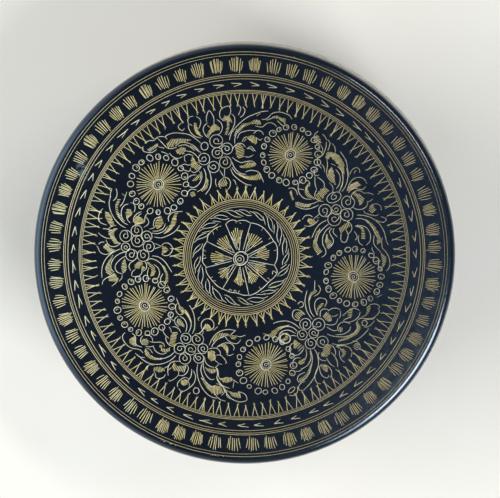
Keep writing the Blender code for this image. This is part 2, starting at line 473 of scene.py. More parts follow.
def ring_tree():
    sizes = [
        ("Marks", "Collection", None),
        ("Count", "Int", 12),
        ("Ring Radius", "Float", 0.05),
        ("First Angle", "Float", 0.0),
        ("Centre", "Vector", (0.0, 0.0, 0.0)),
        ("Turn Jitter", "Float", 0.03),
        ("Step Jitter", "Float", 0.0),
        ("Size Jitter", "Float", 0.06),
        ("Seed", "Int", 1),
    ]
    tree, given = new_tree("marks_round_a_ring", sizes + SWEEP + DOME)
    seed = given.out("Seed")

    def chance(low, high, number, kind="FLOAT", low_in=2, high_in=3, output=1):
        inputs = {low_in: low, high_in: high, "Seed": seed + float(number)}
        return Wire.node(tree, "FunctionNodeRandomValue", {"data_type": kind}, inputs, output)

    index = Wire.node(tree, "GeometryNodeInputIndex")
    count = given.out("Count")
    jitter = given.out("Step Jitter")
    turn = (index + chance(0.0 - jitter, jitter, 1)) * math.tau / count + given.out("First Angle")
    x = given.out("Ring Radius") * turn.math("COSINE", turn)
    y = given.out("Ring Radius") * turn.math("SINE", turn)
    place = Wire.node(tree, "ShaderNodeCombineXYZ", inputs={0: x, 1: y})
    place = Wire.node(tree, "ShaderNodeVectorMath", {"operation": "ADD"}, {0: place, 1: given.out("Centre")})
    points = Wire.node(tree, "GeometryNodePoints", inputs={"Count": count, "Position": place})
    # the turn is kept on the points, as the index is read again when the marks are placed
    settings = {"data_type": "FLOAT", "domain": "POINT"}
    inputs = {"Geometry": points, "Name": "turn", "Value": turn}
    points = Wire.node(tree, "GeometryNodeStoreNamedAttribute", settings, inputs)
    kept = Wire.node(tree, "GeometryNodeInputNamedAttribute", {"data_type": "FLOAT"}, {"Name": "turn"})
    wobble = given.out("Turn Jitter")
    lean = kept - math.pi / 2 + chance(0.0 - wobble, wobble, 2)
    lean = Wire.node(tree, "ShaderNodeCombineXYZ", inputs={2: lean})
    lean = Wire.node(tree, "FunctionNodeEulerToRotation", inputs={0: lean})
    grow = given.out("Size Jitter")
    size = chance(1.0 - grow, 1.0 + grow, 3)
    inputs = {"Collection": given.out("Marks"), "Separate Children": True, "Reset Children": True}
    marks = Wire.node(tree, "GeometryNodeCollectionInfo", inputs=inputs)
    pick = chance(0, 999, 4, "INT", 4, 5, 2)
    inputs = {"Points": points, "Instance": marks, "Pick Instance": True}
    inputs.update({"Instance Index": pick, "Rotation": lean, "Scale": size})
    placed = Wire.node(tree, "GeometryNodeInstanceOnPoints", inputs=inputs)
    placed = Wire.node(tree, "GeometryNodeRealizeInstances", inputs={0: placed})
    end_tree(tree, on_dome(tree, swept(tree, placed, given), given), given.out("Gold"))
    return tree


RING = ring_tree()


def around(name, variants, values):
    """Repeats variants of one mark round a ring of the lid."""
    marks = bpy.data.collections.new(name + "_marks")
    for number, strokes in enumerate(variants):
        marks.objects.link(curve_object(f"{name}_mark_{number:02d}", strokes))
    host = bpy.data.objects.new(name, bpy.data.meshes.new(name + "_host"))
    piece = baked(host, RING, {"Marks": marks, **values}, "lid")
    for old in list(marks.objects):
        bpy.data.objects.remove(old)
    bpy.data.collections.remove(marks)
    return piece


def fan_mark():
    """A fan of near-parallel scratches, wider and ragged at the rim side."""
    strokes = []
    lines = rng.randint(6, 8)
    for i in range(lines):
        t = i / (lines - 1) * 2 - 1
        slip = rng.uniform(-0.14, 0.14)
        foot_x, tip_x = 1.45 * t + slip * 0.5, 2.0 * t + slip
        foot_y = -2.1 + 0.5 * abs(t) + rng.uniform(-0.25, 0.25)
        tip_y = 2.3 - 0.9 * t * t + rng.uniform(-0.35, 0.3)
        if i == lines - 2:
            foot_y -= 0.6
        bend = rng.uniform(-0.12, 0.12)
        middle = ((foot_x + tip_x) / 2 + bend, (foot_y + tip_y) / 2)
        strokes.append(([(foot_x, foot_y), middle, (tip_x, tip_y)], [0.9, 1.3, rng.uniform(0.8, 1.25)],
                        False))
    return strokes


def arrow_mark():
    """A side-lying V, pointing clockwise, sometimes crossed or with a tail."""
    tip = (1.7, rng.uniform(-0.15, 0.15))
    upper = (-1.3 + rng.uniform(-0.3, 0.3), 0.75 + rng.uniform(-0.25, 0.15))
    lower = (-0.6 + rng.uniform(-0.5, 0.4), -0.6 + rng.uniform(-0.15, 0.2))
    tail = rng.choice([0.0, 0.0, 0.0, 0.9])
    middle = (tip[0] * 0.4, upper[1] * 0.4)
    return [
        ([upper, middle, tip, (tip[0] + tail, tip[1])], [0.9, 1.4, 1.5, 0.9], False),
        ([lower, (tip[0] * 0.5, -0.2), tip], [0.8, 1.2, 1.1], False),
    ]


def tooth_mark(length, width, lines):
    """A long tooth: strokes that start apart at the band and meet at the tip."""
    strokes = []
    for i in range(lines):
        t = i / (lines - 1) * 2 - 1
        root = (width / 2 * t + rng.uniform(-0.08, 0.08), rng.uniform(-0.1, 0.1))
        reach = length * (1 - 0.22 * abs(t) * rng.random() - 0.10 * rng.random())
        tip = (-0.22 * t + rng.uniform(-0.15, 0.15), -reach)
        halfway = ((root[0] + tip[0]) / 2 + rng.uniform(-0.05, 0.05), (root[1] + tip[1]) / 2)
        strokes.append(([root, halfway, tip], [rng.uniform(0.8, 1.05), 1.15, 0.9], False))
    return strokes


fans = [fan_mark() for i in range(12)]
values = {"Count": 64, "Ring Radius": 61.2 * MM, "First Angle": math.radians(2.57)}
values.update({"Turn Jitter": 0.06, "Step Jitter": 0.05, "Seed": 3})
around("rim_fans", fans, values)
arrows = [arrow_mark() for i in range(10)]
values = {"Count": 59, "Ring Radius": 55.0 * MM, "First Angle": math.radians(184.0)}
values.update({"Turn Jitter": 0.10, "Step Jitter": 0.08, "Seed": 5})
around("arrow_ring", arrows, values)
teeth = [tooth_mark(5.0, 1.75, rng.choice([2, 2, 2, 3])) for i in range(14)]
values = {"Count": 113, "Ring Radius": 52.1 * MM, "Turn Jitter": 0.07, "Step Jitter": 0.08}
values.update({"Size Jitter": 0.1, "Seed": 8})
around("outer_teeth", teeth, values)
teeth = [[([(x, -y) for x, y in p], w, c) for p, w,
          c in tooth_mark(4.0, 2.1, rng.choice([3, 4]))] for i in range(12)]
values = {"Count": 46, "Ring Radius": 18.9 * MM, "Centre": (MEDALLION_OFF[0] * MM, MEDALLION_OFF[1] * MM, 0)}
values.update({"Turn Jitter": 0.10, "Step Jitter": 0.10, "Size Jitter": 0.1, "Seed": 9})
around("inner_teeth", teeth, values)

# ---------------------------------------------------------------------------------------------
# The wide band of flowers: five sunbursts and five flower clusters, drawn free-hand with the
# point. u runs clockwise round the lid from each figure's middle, v towards the rim.


class Pen:
    """Collects the strokes of one figure, in millimetres from its middle."""

    def __init__(self, radius, degrees, middle=(0.0, 0.0)):
        turn = math.radians(degrees)
        self.u, self.v = (math.sin(turn), -math.cos(turn)), (math.cos(turn), math.sin(turn))
        self.middle = (middle[0] + radius * self.v[0], middle[1] + radius * self.v[1])
        self.strokes = []

    def put(self, points, widths, closed=False):
        placed = []
        for u, v in points:
            x = self.middle[0] + u * self.u[0] + v * self.v[0]
            y = self.middle[1] + u * self.u[1] + v * self.v[1]
            placed.append((x, y))
        self.strokes.append((placed, widths, closed))

    def line(self, *numbers, width=1.0):
        """One sweep through the points, lighter at both ends."""
        points = through(list(zip(numbers[::2], numbers[1::2])))
        last = len(points) - 1
        widths = []
        for i in range(len(points)):
            ends = min(1.0, 0.65 + 0.35 * min(i, last - i) / 3)
            widths.append(width * ends * rng.uniform(0.9, 1.1))
        self.put(points, widths)

    def loop(self, u, v, r, tall=1.0, width=1.0, start=None, sweep=1.08):
        """A ring that overshoots its own start a little."""
        start = rng.uniform(0, math.tau) if start is None else math.radians(start)
        lean, steps = rng.uniform(0, math.pi), max(10, round(9 * r * sweep))
        points = []
        for i in range(steps + 1):
            a = start + math.tau * sweep * i / steps
            grow = r * (1 + 0.05 * math.cos(2 * (a - lean)) + 0.03 * i / steps)
            points.append((u + grow * math.cos(a), v + grow * tall * math.sin(a)))
        self.put(points, [width * rng.uniform(0.9, 1.1) for p in points])

    def snail(self, u, v, r, tall=1.0):
        """A ring with a smaller turn curled up inside it."""
        start, steps = rng.uniform(0, math.tau), round(26 + 6 * r)
        way = rng.choice([-1, 1])
        points = []
        for i in range(steps + 1):
            t = 2.0 * i / steps
            shrink = 1.0 if t < 0.95 else max(0.40, 1.0 - 3.2 * (t - 0.95)) - 0.06 * max(0, t - 1.2)
            a = start + way * math.tau * t
            points.append((u + r * shrink * math.cos(a), v + r * tall * shrink * math.sin(a)))
        self.put(points, [0.85 * rng.uniform(0.85, 1.15) for p in points])

    def fill(self, low, high, pitch=0.54, width=1.35):
        """Short strokes from one edge to the other, close enough to read as a solid patch."""
        low, high = evenly(low, high, pitch)
        for (a, b), (c, d) in zip(low, high):
            cut, over = rng.uniform(-0.06, 0.10), rng.uniform(-0.12, 0.08)
            start = (a + (c - a) * cut, b + (d - b) * cut)
            end = (c + (c - a) * over, d + (d - b) * over)
            self.put([start, end], [width * rng.uniform(0.75, 1.1), width * rng.uniform(0.6, 1.0)])

    def patch(self, u, v, long, wide, lean):
        """An egg of parallel strokes."""
        turn, lines = math.radians(lean), max(3, round(wide / 0.42))
        for i in range(lines):
            t = (i + 0.5) / lines * 2 - 1
            half, side = long / 2 * math.sqrt(1 - 0.8 * t * t) * rng.uniform(0.85, 1.1), wide / 2 * t
            ends = [(s * half * math.cos(turn) - side * math.sin(turn),
                     s * half * math.sin(turn) + side * math.cos(turn)) for s in (-1, 1)]
            self.put([(u + x, v + y) for x, y in ends], [0.9, 1.0])


def through(points, reach=0.5):
    """A smooth run of points through hand-set ones."""
    if len(points) == 2:
        steps = max(1, math.ceil(math.dist(*points)))
        (a, b), (c, d) = points
        return [(a + (c - a) * i / steps, b + (d - b) * i / steps) for i in range(steps + 1)]
    ends = [points[0]] + points + [points[-1]]
    run = []
    for a, b, c, d in zip(ends, ends[1:], ends[2:], ends[3:]):
        steps = max(2, round(math.dist(b, c) / reach))
        for i in range(steps):
            t = i / steps
            run.append(tuple(
                b[k] + 0.5 * t * (c[k] - a[k] + t * (2 * a[k] - 5 * b[k] + 4 * c[k] - d[k] + t * (3 * (b[k] - c[k]) + d[k] - a[k])))
                for k in (0, 1)
            ))
    return run + [points[-1]]


def evenly(low, high, pitch):
    """The same number of evenly spaced points along two edges."""
    edges = [through(list(zip(e[::2], e[1::2])), 0.2) for e in (low, high)]
    spans = [[0.0], [0.0]]
    for k, edge in enumerate(edges):
        for p, q in zip(edge, edge[1:]):
            spans[k].append(spans[k][-1] + math.dist(p, q))
    count = max(3, round(max(s[-1] for s in spans) / pitch))
    found = []
    for edge, span_at in zip(edges, spans):
        points = []
        for i in range(count + 1):
            want = span_at[-1] * i / count
            j = max(1, next((n for n, s in enumerate(span_at) if s >= want - 1e-9), len(edge) - 1))
            step = span_at[j] - span_at[j - 1] or 1.0
            t = min(1.0, (want - span_at[j - 1]) / step)
            points.append(tuple(edge[j - 1][k] + (edge[j][k] - edge[j - 1][k]) * t for k in (0, 1)))
        found.append(points)
    return found


def ray_mark():
    """A ray of a sunburst, with a fork now and then."""
    near, far = rng.uniform(-0.2, 0.5), 5.6 + rng.uniform(-0.35, 0.25)
    return [([(0.0, near), (rng.uniform(-0.08, 0.08), far / 2), (rng.uniform(-0.12, 0.12), far)],
             [0.7, 1.0, 1.0], False)]


def bead_mark():
    """A small ring or drop, drawn in one go."""
    pen = Pen(0.0, 90.0)
    r, tall = rng.uniform(0.78, 1.0), rng.uniform(0.8, 1.15)
    pen.loop(0.0, 0.0, r, tall, width=rng.uniform(0.85, 1.2), sweep=rng.uniform(1.0, 1.2))
    if rng.random() < 0.6:
        pen.line(0.1, -0.3, 0.4, 0.0, 0.2, 0.4, width=1.1)
    return pen.strokes


sunbursts = [("right", 35.8, -10.5, 42, 21), ("lower", 35.8, -78.5, 43, 20),
             ("lower_left", 35.8, -153.3, 44, 21)]
sunbursts += [("upper_left", 35.8, 140.0, 42, 20), ("upper_right", 35.8, 65.3, 44, 22)]
for number, (name, radius, degrees, rays, beads) in enumerate(sunbursts):
    pen = Pen(radius, degrees)
    at = (pen.middle[0] * MM, pen.middle[1] * MM, 0.0)
    values = {"Count": rays, "Ring Radius": 1.55 * MM, "Centre": at, "Turn Jitter": 0.05}
    values.update({"Step Jitter": 0.12, "Size Jitter": 0.04, "Seed": 20 + number})
    around(f"sunburst_rays_{name}", [ray_mark() for i in range(12)], values)
    values = {"Count": beads, "Ring Radius": 8.9 * MM, "Centre": at, "Turn Jitter": 0.5}
    values.update({"Step Jitter": 0.1, "Size Jitter": 0.12, "Seed": 40 + number})
    around(f"sunburst_beads_{name}", [bead_mark() for i in range(10)], values)
    pen.loop(0.0, 0.0, 1.65, width=1.5)
    pen.snail(0.05, -0.05, 1.15)
    baked(curve_object(f"sunburst_hub_{name}", pen.strokes), DRAWN, {}, "lid")


def lower_right_flower(pen):
    for ring in ((1.6, -0.4, 1.55), (1.6, 3.6, 1.85), (-1.5, -1.3, 2.0), (1.4, -4.4, 1.8), (4.6, -2.6, 1.6),
                 (4.7, 1.3, 1.75)):
        pen.snail(*ring)
    # bud towards the middle
    pen.line(-0.7, -6.6, -0.5, -8.8, 0.9, -10.1, 2.5, -9.2, 2.7, -7.6, 2.0, -6.5)
    pen.fill((-0.5, -6.9, 0.9, -7.0, 1.9, -6.8), (-0.2, -8.4, 0.8, -9.0, 1.9, -8.6))
    # three leaves on the rim side
    pen.line(-0.4, 7.7, -2.4, 9.4, -3.2, 11.2, -2.7, 12.8, -1.3, 13.6)
    pen.line(1.2, 13.4, 1.4, 12.3, 0.8, 10.6, -0.2, 9.6)
    pen.fill((-1.7, 10.2, -1.2, 11.6, 0.4, 11.9), (-0.6, 9.6, -0.4, 10.6, 0.5, 11.2))
    pen.line(-1.0, 10.2, -0.9, 9.0, -0.5, 7.8)
    pen.line(-2.3, 9.2, -1.4, 8.3, -0.8, 7.7, width=1.6)
    pen.line(2.1, 8.0, 2.1, 9.6, 2.7, 11.4, 3.9, 12.9)
    pen.line(4.6, 12.2, 4.9, 10.4, 4.4, 8.2)
    pen.line(1.6, 5.0, 0.3, 6.6, 0.7, 8.6, 1.9, 9.7)
    pen.line(5.1, 8.8, 6.1, 7.4, 5.9, 5.9, 4.8, 5.3)
    pen.fill((1.0, 6.9, 2.6, 8.1, 4.0, 8.0, 4.9, 7.0), (1.0, 5.3, 2.2, 5.2, 3.4, 5.6, 4.8, 6.0))
    pen.line(7.6, 8.4, 6.2, 9.8, 6.0, 11.8, 6.9, 13.2, 8.1, 13.6)
    pen.line(7.7, 12.8, 8.7, 13.1, 9.4, 12.0, 9.2, 10.4, 8.0, 8.5)
    pen.fill((6.2, 9.9, 6.4, 11.0, 7.2, 11.6), (7.5, 8.3, 7.9, 9.6, 7.8, 11.0))
    # long leaves that sweep off along the teeth
    pen.line(-0.2, 6.2, -1.6, 8.2, -4.5, 10.3, -8.0, 11.2, -11.6, 11.2, -11.8, 10.6)
    pen.line(-15.0, 10.6, -13.0, 10.7, -11.2, 9.9)
    pen.line(-17.0, 9.8, -15.4, 9.7, -13.8, 8.4, -12.4, 6.8, -10.8, 6.7)
    pen.fill((-11.0, 6.9, -10.4, 9.0, -8.2, 9.7, -5.0, 8.9, -2.1, 7.2),
             (-10.0, 7.2, -9.4, 8.3, -8.0, 8.6, -5.2, 8.0, -2.6, 7.0))
    pen.line(-10.3, 7.6, -9.3, 8.5, -7.0, 8.6, -4.4, 7.3, -2.2, 4.8, -1.2, 2.8)
    pen.line(-8.3, 6.5, -7.0, 7.1, -5.0, 6.6, -3.0, 5.0)
    pen.line(-8.8, 5.8, -8.0, 4.0, -6.4, 3.3, -5.0, 3.8, -4.6, 4.7)
    pen.patch(-5.3, 4.9, 1.6, 1.4, 40)
    pen.line(-4.6, 4.4, -3.4, 3.4, -2.8, 1.2)
    pen.line(-13.8, 5.3, -12.4, 6.0, -10.5, 5.9, -8.6, 4.9, -8.0, 4.1)
    pen.line(-14.0, 4.8, -13.4, 3.2, -12.3, 2.5)
    pen.fill((-12.6, 2.9, -11.6, 4.0, -10.4, 4.5), (-12.0, 2.4, -10.6, 2.8, -9.9, 3.8))
    pen.line(-10.4, 4.4, -9.2, 3.7, -7.9, 3.5)
    pen.line(-12.4, 2.4, -8.9, 2.2)
    pen.snail(-5.2, 12.6, 1.0)
    pen.line(-6.3, 12.8, -6.3, 11.4, -5.4, 10.3)
    # towards the lower sunburst
    pen.line(-9.7, 0.4, -9.4, -0.8, -8.2, -1.9, -6.7, -2.2)
    pen.line(-8.3, 0.8, -7.2, 0.6, -6.3, -0.2)
    pen.fill((-5.6, 0.6, -6.3, -0.6, -6.2, -2.2), (-4.4, 0.4, -4.2, -0.8, -4.2, -2.0))
    pen.line(-7.1, -2.4, -6.3, -3.6, -5.0, -3.9, -3.5, -2.6)
    pen.line(-9.5, 0.6, -8.6, 1.6, -7.6, 2.0)
    pen.line(-7.2, 1.8, -5.6, 2.4, -4.1, 1.6, -3.2, 0.2)
    pen.line(-6.9, -4.0, -8.4, -4.5, -8.8, -5.6, -7.8, -7.1, -6.0, -7.3, -4.3, -5.8, -3.4, -3.8)
    pen.fill((-7.4, -4.8, -6.0, -4.6, -4.6, -4.5, -3.5, -3.6),
             (-6.8, -5.5, -5.6, -5.6, -4.6, -5.2, -3.4, -4.2))
    pen.line(-2.2, -4.0, -2.7, -6.2, -4.6, -8.8, -6.8, -9.9)
    pen.line(-1.2, -4.0, -1.8, -6.8, -3.8, -9.8, -6.6, -11.7)
    pen.fill((-4.4, -8.5, -6.4, -9.4, -8.6, -9.2), (-4.9, -9.3, -6.6, -10.3, -8.6, -10.2))
    pen.line(-10.4, -10.4, -10.0, -9.0, -8.6, -8.4, -6.8, -8.8)
    pen.line(-8.4, -10.2, -9.6, -11.2, -10.6, -12.2)
    pen.loop(-2.0, -9.9, 0.9, sweep=0.8, start=20)
    # towards the right-hand sunburst
    pen.line(6.9, 0.6, 8.6, 1.2, 10.4, 0.9, 11.4, -0.4, 11.0, -1.9, 9.6, -2.9, 8.6, -2.8)
    pen.line(6.8, 0.2, 9.2, 0.3, width=1.2)
    pen.line(7.0, -0.5, 9.0, -0.5, width=1.2)
    pen.fill((7.2, -1.2, 7.4, -3.1), (9.6, -1.2, 8.6, -2.6))
    pen.loop(9.3, -5.7, 1.6, width=1.8)
    pen.fill((7.6, -6.4, 8.6, -5.0, 10.0, -5.2), (8.2, -6.8, 9.2, -5.9, 10.4, -6.4))
    pen.line(11.1, -5.4, 10.9, -7.0, 9.5, -7.9, 8.2, -7.7)
    pen.line(6.2, -3.6, 7.0, -4.8, 8.0, -5.1)
    pen.line(4.9, -4.5, 5.1, -6.6, 6.6, -8.4, 8.4, -8.9)
    pen.line(5.8, -4.4, 6.6, -6.8, 8.6, -8.1, 9.6, -8.0)
    pen.line(3.7, -4.6, 3.9, -6.9, 5.0, -9.4, 7.2, -11.2, 8.6, -11.8)
    pen.fill((5.3, -7.8, 8.0, -8.8, 10.4, -8.6, 12.0, -8.2), (6.6, -8.6, 8.4, -9.9, 10.6, -10.3, 12.0, -10.2))
    pen.line(12.2, -10.2, 13.2, -11.8)
    pen.line(5.1, 3.4, 5.6, 5.2, 7.6, 7.8, 10.8, 9.6, 14.0, 10.4, 17.0, 10.5)
    pen.line(6.1, 2.6, 7.5, 4.9, 9.6, 6.6, 12.0, 7.9, 14.4, 8.2, 16.1, 7.6, 16.0, 6.6, 14.6, 6.0, 12.6, 6.6)
    pen.fill((9.2, 6.4, 12.2, 8.1, 15.6, 8.0), (9.8, 6.2, 12.4, 7.2, 15.4, 7.0))
    pen.line(6.5, 2.8, 8.0, 4.8, 10.4, 5.6, 12.2, 5.2, 12.6, 4.8)
    pen.line(12.0, 5.3, 13.6, 5.1, 14.5, 4.2)
    pen.line(7.0, 1.4, 8.0, 2.8, 9.6, 3.8)
    pen.fill((9.2, 3.6, 10.6, 4.3, 11.6, 4.1), (10.0, 3.2, 11.2, 2.6, 12.0, 2.7))
    pen.line(10.2, 2.4, 11.4, 1.3, 12.8, 1.4, 13.8, 2.4)
    pen.line(7.8, 8.5, 9.8, 8.9, 11.6, 10.2, 12.3, 11.8, 11.6, 13.0)
    pen.line(-13.0, 8.0, -14.5, 9.4, -15.5, 10.0, -16.2, 9.7)
    pen.line(-16.6, 9.9, -18.0, 9.7, -18.7, 9.0, -18.6, 8.4)
    pen.line(-19.2, 8.9, -19.5, 8.0, -19.1, 7.0, -18.2, 6.2, -17.2, 5.9, -16.0, 6.0)
    pen.fill((-17.3, 6.5, -16.4, 7.2, -15.4, 7.5, -14.3, 7.5),
             (-17.0, 6.1, -16.0, 6.2, -15.2, 6.7, -14.3, 7.2))
    pen.line(-14.3, 7.4, -13.0, 6.7)
    pen.line(-22.6, 6.3, -20.9, 5.8)
    pen.loop(-12.2, 8.9, 0.9)
    pen.line(17.0, 10.5, 17.9, 9.7, 17.7, 8.8, 16.8, 8.3, 15.6, 8.3, 14.7, 8.8)
    pen.line(17.6, 8.2, 18.4, 9.2, 19.5, 9.6, 20.8, 9.3, 21.5, 8.3)
    pen.loop(19.7, 7.7, 1.3, 0.5)


def lower_flower(pen):
    for ring in ((1.6, 0.9, 1.75), (1.9, 4.3, 1.85), (-2.0, 2.2, 1.6), (-1.8, -1.2, 1.6), (1.0, -3.2, 1.85),
                 (4.6, -1.7, 1.7), (4.9, 2.2, 1.8)):
        pen.snail(*ring)
    pen.line(0.4, -5.2, 0.6, -6.4)
    pen.line(1.6, -5.0, 1.0, -6.4, 1.0, -8.8, width=1.3)
    pen.line(0.9, -6.5, 1.9, -7.4, 2.4, -8.8, 1.8, -10.2, 0.4, -10.9, -1.0, -10.4, -1.7, -9.2, -1.4, -7.9,
             -0.3, -6.9)
    pen.fill((-1.4, -8.0, -0.4, -7.0, 0.6, -7.1), (-0.6, -8.7, 0.2, -9.1, 0.7, -8.8))
    pen.line(-2.1, -8.1, -2.8, -9.8)
    pen.line(3.4, -8.8, 4.0, -9.2, 3.6, -10.1)
    pen.line(-2.3, 6.6, -3.8, 8.0, -4.3, 10.2, -3.6, 12.4, -2.6, 14.0, -1.6, 14.4, -0.7, 14.0)
    pen.line(-0.2, 13.8, 0.4, 12.6, 0.0, 11.0, -1.0, 9.8, -2.2, 9.7)
    pen.line(-2.3, 10.4, -2.4, 8.4, -1.6, 6.4)
    pen.fill((-2.6, 10.6, -2.2, 12.2, -0.9, 12.4), (-1.4, 10.4, -0.6, 11.0, -0.4, 11.7))
    pen.line(-3.5, 12.2, -3.2, 11.2, -2.4, 10.6)
    pen.line(1.4, 10.4, 2.0, 12.0, 3.0, 13.2, 3.4, 12.9)
    pen.line(4.2, 11.8, 5.0, 10.4, 4.4, 9.0)
    pen.line(1.3, 10.4, 1.6, 9.4, 2.4, 8.7)
    pen.line(1.2, 10.2, 0.0, 9.6, -0.7, 8.2, -0.5, 6.6, 0.4, 5.8)
    pen.line(4.8, 11.0, 5.4, 9.6, 5.4, 7.8, 4.4, 6.6, 3.0, 6.0)
    pen.fill((0.2, 8.4, 2.0, 9.0, 3.2, 9.4, 4.2, 8.8), (0.6, 6.1, 1.8, 6.9, 3.0, 7.4, 4.4, 6.9))
    pen.line(5.2, 11.8, 5.2, 12.8, 6.0, 13.8, 7.4, 14.2, 8.1, 13.2)
    pen.fill((6.0, 11.0, 7.2, 12.2, 8.4, 12.3), (6.6, 10.4, 8.2, 10.5, 9.4, 11.4))
    pen.line(6.4, 10.2, 5.6, 9.0, 5.3, 8.6)
    pen.line(9.4, 11.6, 8.8, 12.8, 8.2, 13.0)
    pen.line(11.0, 13.4, 11.6, 12.4, 11.0, 11.3, 10.0, 11.0)
    pen.line(-2.6, 4.0, -3.4, 6.2, -5.4, 8.8, -8.2, 10.8, -11.0, 11.6, -13.2, 11.2)
    pen.line(-16.0, 10.8, -14.4, 11.1, -13.0, 10.8, -12.0, 10.2)
    pen.line(-3.8, 3.4, -4.4, 5.4, -6.4, 7.4, -8.6, 8.4, -10.4, 8.4, -10.9, 7.6)
    pen.fill((-14.0, 8.8, -12.4, 10.4, -10.0, 10.2, -7.6, 9.0, -5.6, 7.6),
             (-12.2, 7.0, -11.0, 7.8, -9.6, 8.5, -7.8, 8.4, -6.4, 7.6))
    pen.line(-14.0, 9.8, -14.4, 8.4, -13.6, 7.2, -12.2, 6.8, -10.8, 7.0)
    pen.line(-17.0, 9.4, -15.6, 9.0, -14.8, 7.8, -12.6, 6.7, -11.6, 6.4, -10.2, 5.4, -9.8, 4.2, -9.2, 3.0,
             -8.0, 2.3)
    pen.line(-9.6, 5.9, -8.8, 6.6, -7.2, 6.3, -5.4, 5.0, -4.0, 3.0, -3.2, 1.0)
    pen.fill((-9.0, 3.6, -7.8, 4.8, -6.4, 4.6, -5.2, 4.0), (-8.6, 2.9, -7.4, 3.2, -6.4, 3.8, -5.3, 3.8))
    pen.line(-15.4, 6.4, -13.2, 6.7, -11.6, 6.2, -10.1, 5.2)
    pen.fill((-14.8, 4.0, -13.6, 5.4, -12.0, 5.5, -11.0, 5.2),
             (-14.2, 3.0, -13.2, 3.4, -12.4, 4.0, -11.8, 4.6))
    pen.line(-11.4, 5.2, -10.4, 4.6, -9.8, 3.6, -9.0, 2.6, -8.0, 2.3)
    pen.line(-17.0, 3.6, -15.0, 3.4, -14.0, 3.0)
    pen.line(-16.2, 5.8, -15.6, 3.8)
    pen.line(-8.2, 2.3, -8.6, 1.2, -8.4, 0.8, -9.6, 0.6)
    pen.line(-8.2, 0.6, -7.0, 0.4, -6.8, -0.2)
    pen.line(-7.8, 2.6, -6.2, 2.9, -4.6, 2.4, -3.4, 0.9)
    pen.fill((-6.8, 0.4, -5.8, 1.2, -4.6, 0.6, -3.9, -0.6), (-6.6, -0.8, -5.9, -1.6, -5.0, -2.2, -3.9, -1.4))
    pen.line(-10.4, -0.2, -10.6, -0.6, -9.4, -1.5, -7.6, -1.9, -6.6, -1.2)
    pen.line(-7.8, -2.0, -7.0, -3.0, -5.6, -3.3, -4.2, -2.6, -3.6, -1.9)
    pen.line(-9.4, -3.0, -10.6, -3.2, -11.3, -4.2)
    pen.line(-10.8, -5.2, -10.6, -6.2, -9.2, -6.8, -7.4, -6.2, -6.2, -4.8, -5.6, -3.4)
    pen.fill((-9.6, -3.2, -8.4, -4.0, -7.2, -4.6, -5.8, -4.0),
             (-9.0, -5.0, -8.0, -5.7, -6.9, -5.6, -5.8, -4.4))
    pen.line(-11.3, -9.4, -11.0, -7.9, -9.6, -7.2, -7.8, -7.3, -6.4, -8.0)
    pen.line(-4.0, -3.0, -4.2, -4.8, -5.0, -6.6, -7.0, -8.8)
    pen.line(-3.1, -3.2, -3.0, -5.2, -3.4, -7.4, -4.6, -9.2, -6.4, -10.6, -8.6, -11.3)
    pen.fill((-3.9, -4.8, -4.6, -6.4, -6.2, -7.8, -7.2, -8.9),
             (-3.2, -5.6, -3.6, -7.4, -4.8, -8.6, -6.6, -9.2))
    pen.patch(-8.9, -9.0, 1.9, 1.4, 20)
    pen.line(-12.0, -11.4, -10.8, -10.2, -9.4, -9.8)
    pen.line(-7.4, -8.6, -8.0, -10.0, -8.4, -11.2)
    pen.line(5.0, 4.8, 5.6, 6.6, 7.2, 8.8, 9.4, 10.4, 12.0, 11.1, 14.6, 10.8, 15.0, 10.4)
    pen.line(13.6, 10.0, 15.0, 10.6, 17.0, 10.2)
    pen.line(5.8, 3.8, 6.6, 5.8, 8.2, 7.6, 10.2, 8.6, 12.0, 8.6)
    pen.fill((8.8, 8.4, 11.0, 9.4, 13.4, 9.4, 14.4, 8.4), (8.4, 7.5, 10.4, 8.4, 12.6, 8.2, 14.6, 7.2))
    pen.line(12.0, 7.6, 13.2, 6.9, 14.4, 7.0)
    pen.line(8.0, 5.4, 9.0, 6.4, 10.6, 6.7, 12.0, 6.2, 12.8, 5.4)
    pen.line(12.6, 5.2, 13.8, 6.2, 15.2, 6.6)
    pen.fill((7.5, 4.6, 8.6, 5.6, 9.8, 5.6), (7.9, 3.4, 8.8, 4.4, 10.2, 4.6))
    pen.line(9.4, 4.0, 10.2, 3.2, 11.4, 3.2, 12.4, 3.8, 13.6, 4.4, 14.6, 4.6)
    pen.patch(10.6, 4.3, 1.0, 0.9, 0)
    pen.patch(15.8, 5.4, 2.2, 2.0, 30)
    pen.line(13.6, 4.2, 14.4, 3.2, 15.8, 2.9, 17.0, 3.6)
    pen.line(6.4, 1.8, 7.4, 2.6, 8.8, 2.6, 10.0, 1.8, 10.6, 0.8)
    pen.fill((6.5, 1.8, 7.2, 0.2, 7.8, -2.2), (8.6, 2.2, 9.2, 0.4, 9.4, -1.2))
    pen.line(9.4, 0.8, 11.0, 0.4, 12.2, -0.4, 12.9, -1.4)
    pen.line(9.6, -1.2, 10.2, -2.0, 11.1, -2.5)
    pen.line(6.9, -2.6, 8.0, -3.4, 9.4, -3.4, 10.2, -3.0)
    pen.line(3.4, -4.0, 3.6, -6.0, 4.8, -8.4, 6.4, -10.4, 8.4, -11.8)
    pen.line(4.7, -3.8, 4.9, -6.0, 6.2, -8.0, 8.0, -8.9)
    pen.line(5.6, -3.6, 6.2, -5.6, 7.8, -7.0, 9.6, -7.2)
    pen.fill((5.2, -6.9, 6.8, -8.0, 8.4, -8.8, 9.2, -8.4), (6.4, -8.3, 7.6, -9.2, 9.0, -10.0, 9.8, -9.4))
    pen.line(8.9, -8.6, 9.8, -7.6, 11.2, -8.0, 12.2, -9.4, 12.1, -10.6)
    pen.fill((9.4, -8.4, 10.4, -8.8, 11.2, -9.6), (9.4, -9.8, 10.2, -10.3, 11.2, -10.3))
    pen.line(11.2, -10.2, 12.4, -11.2, 13.2, -12.0)
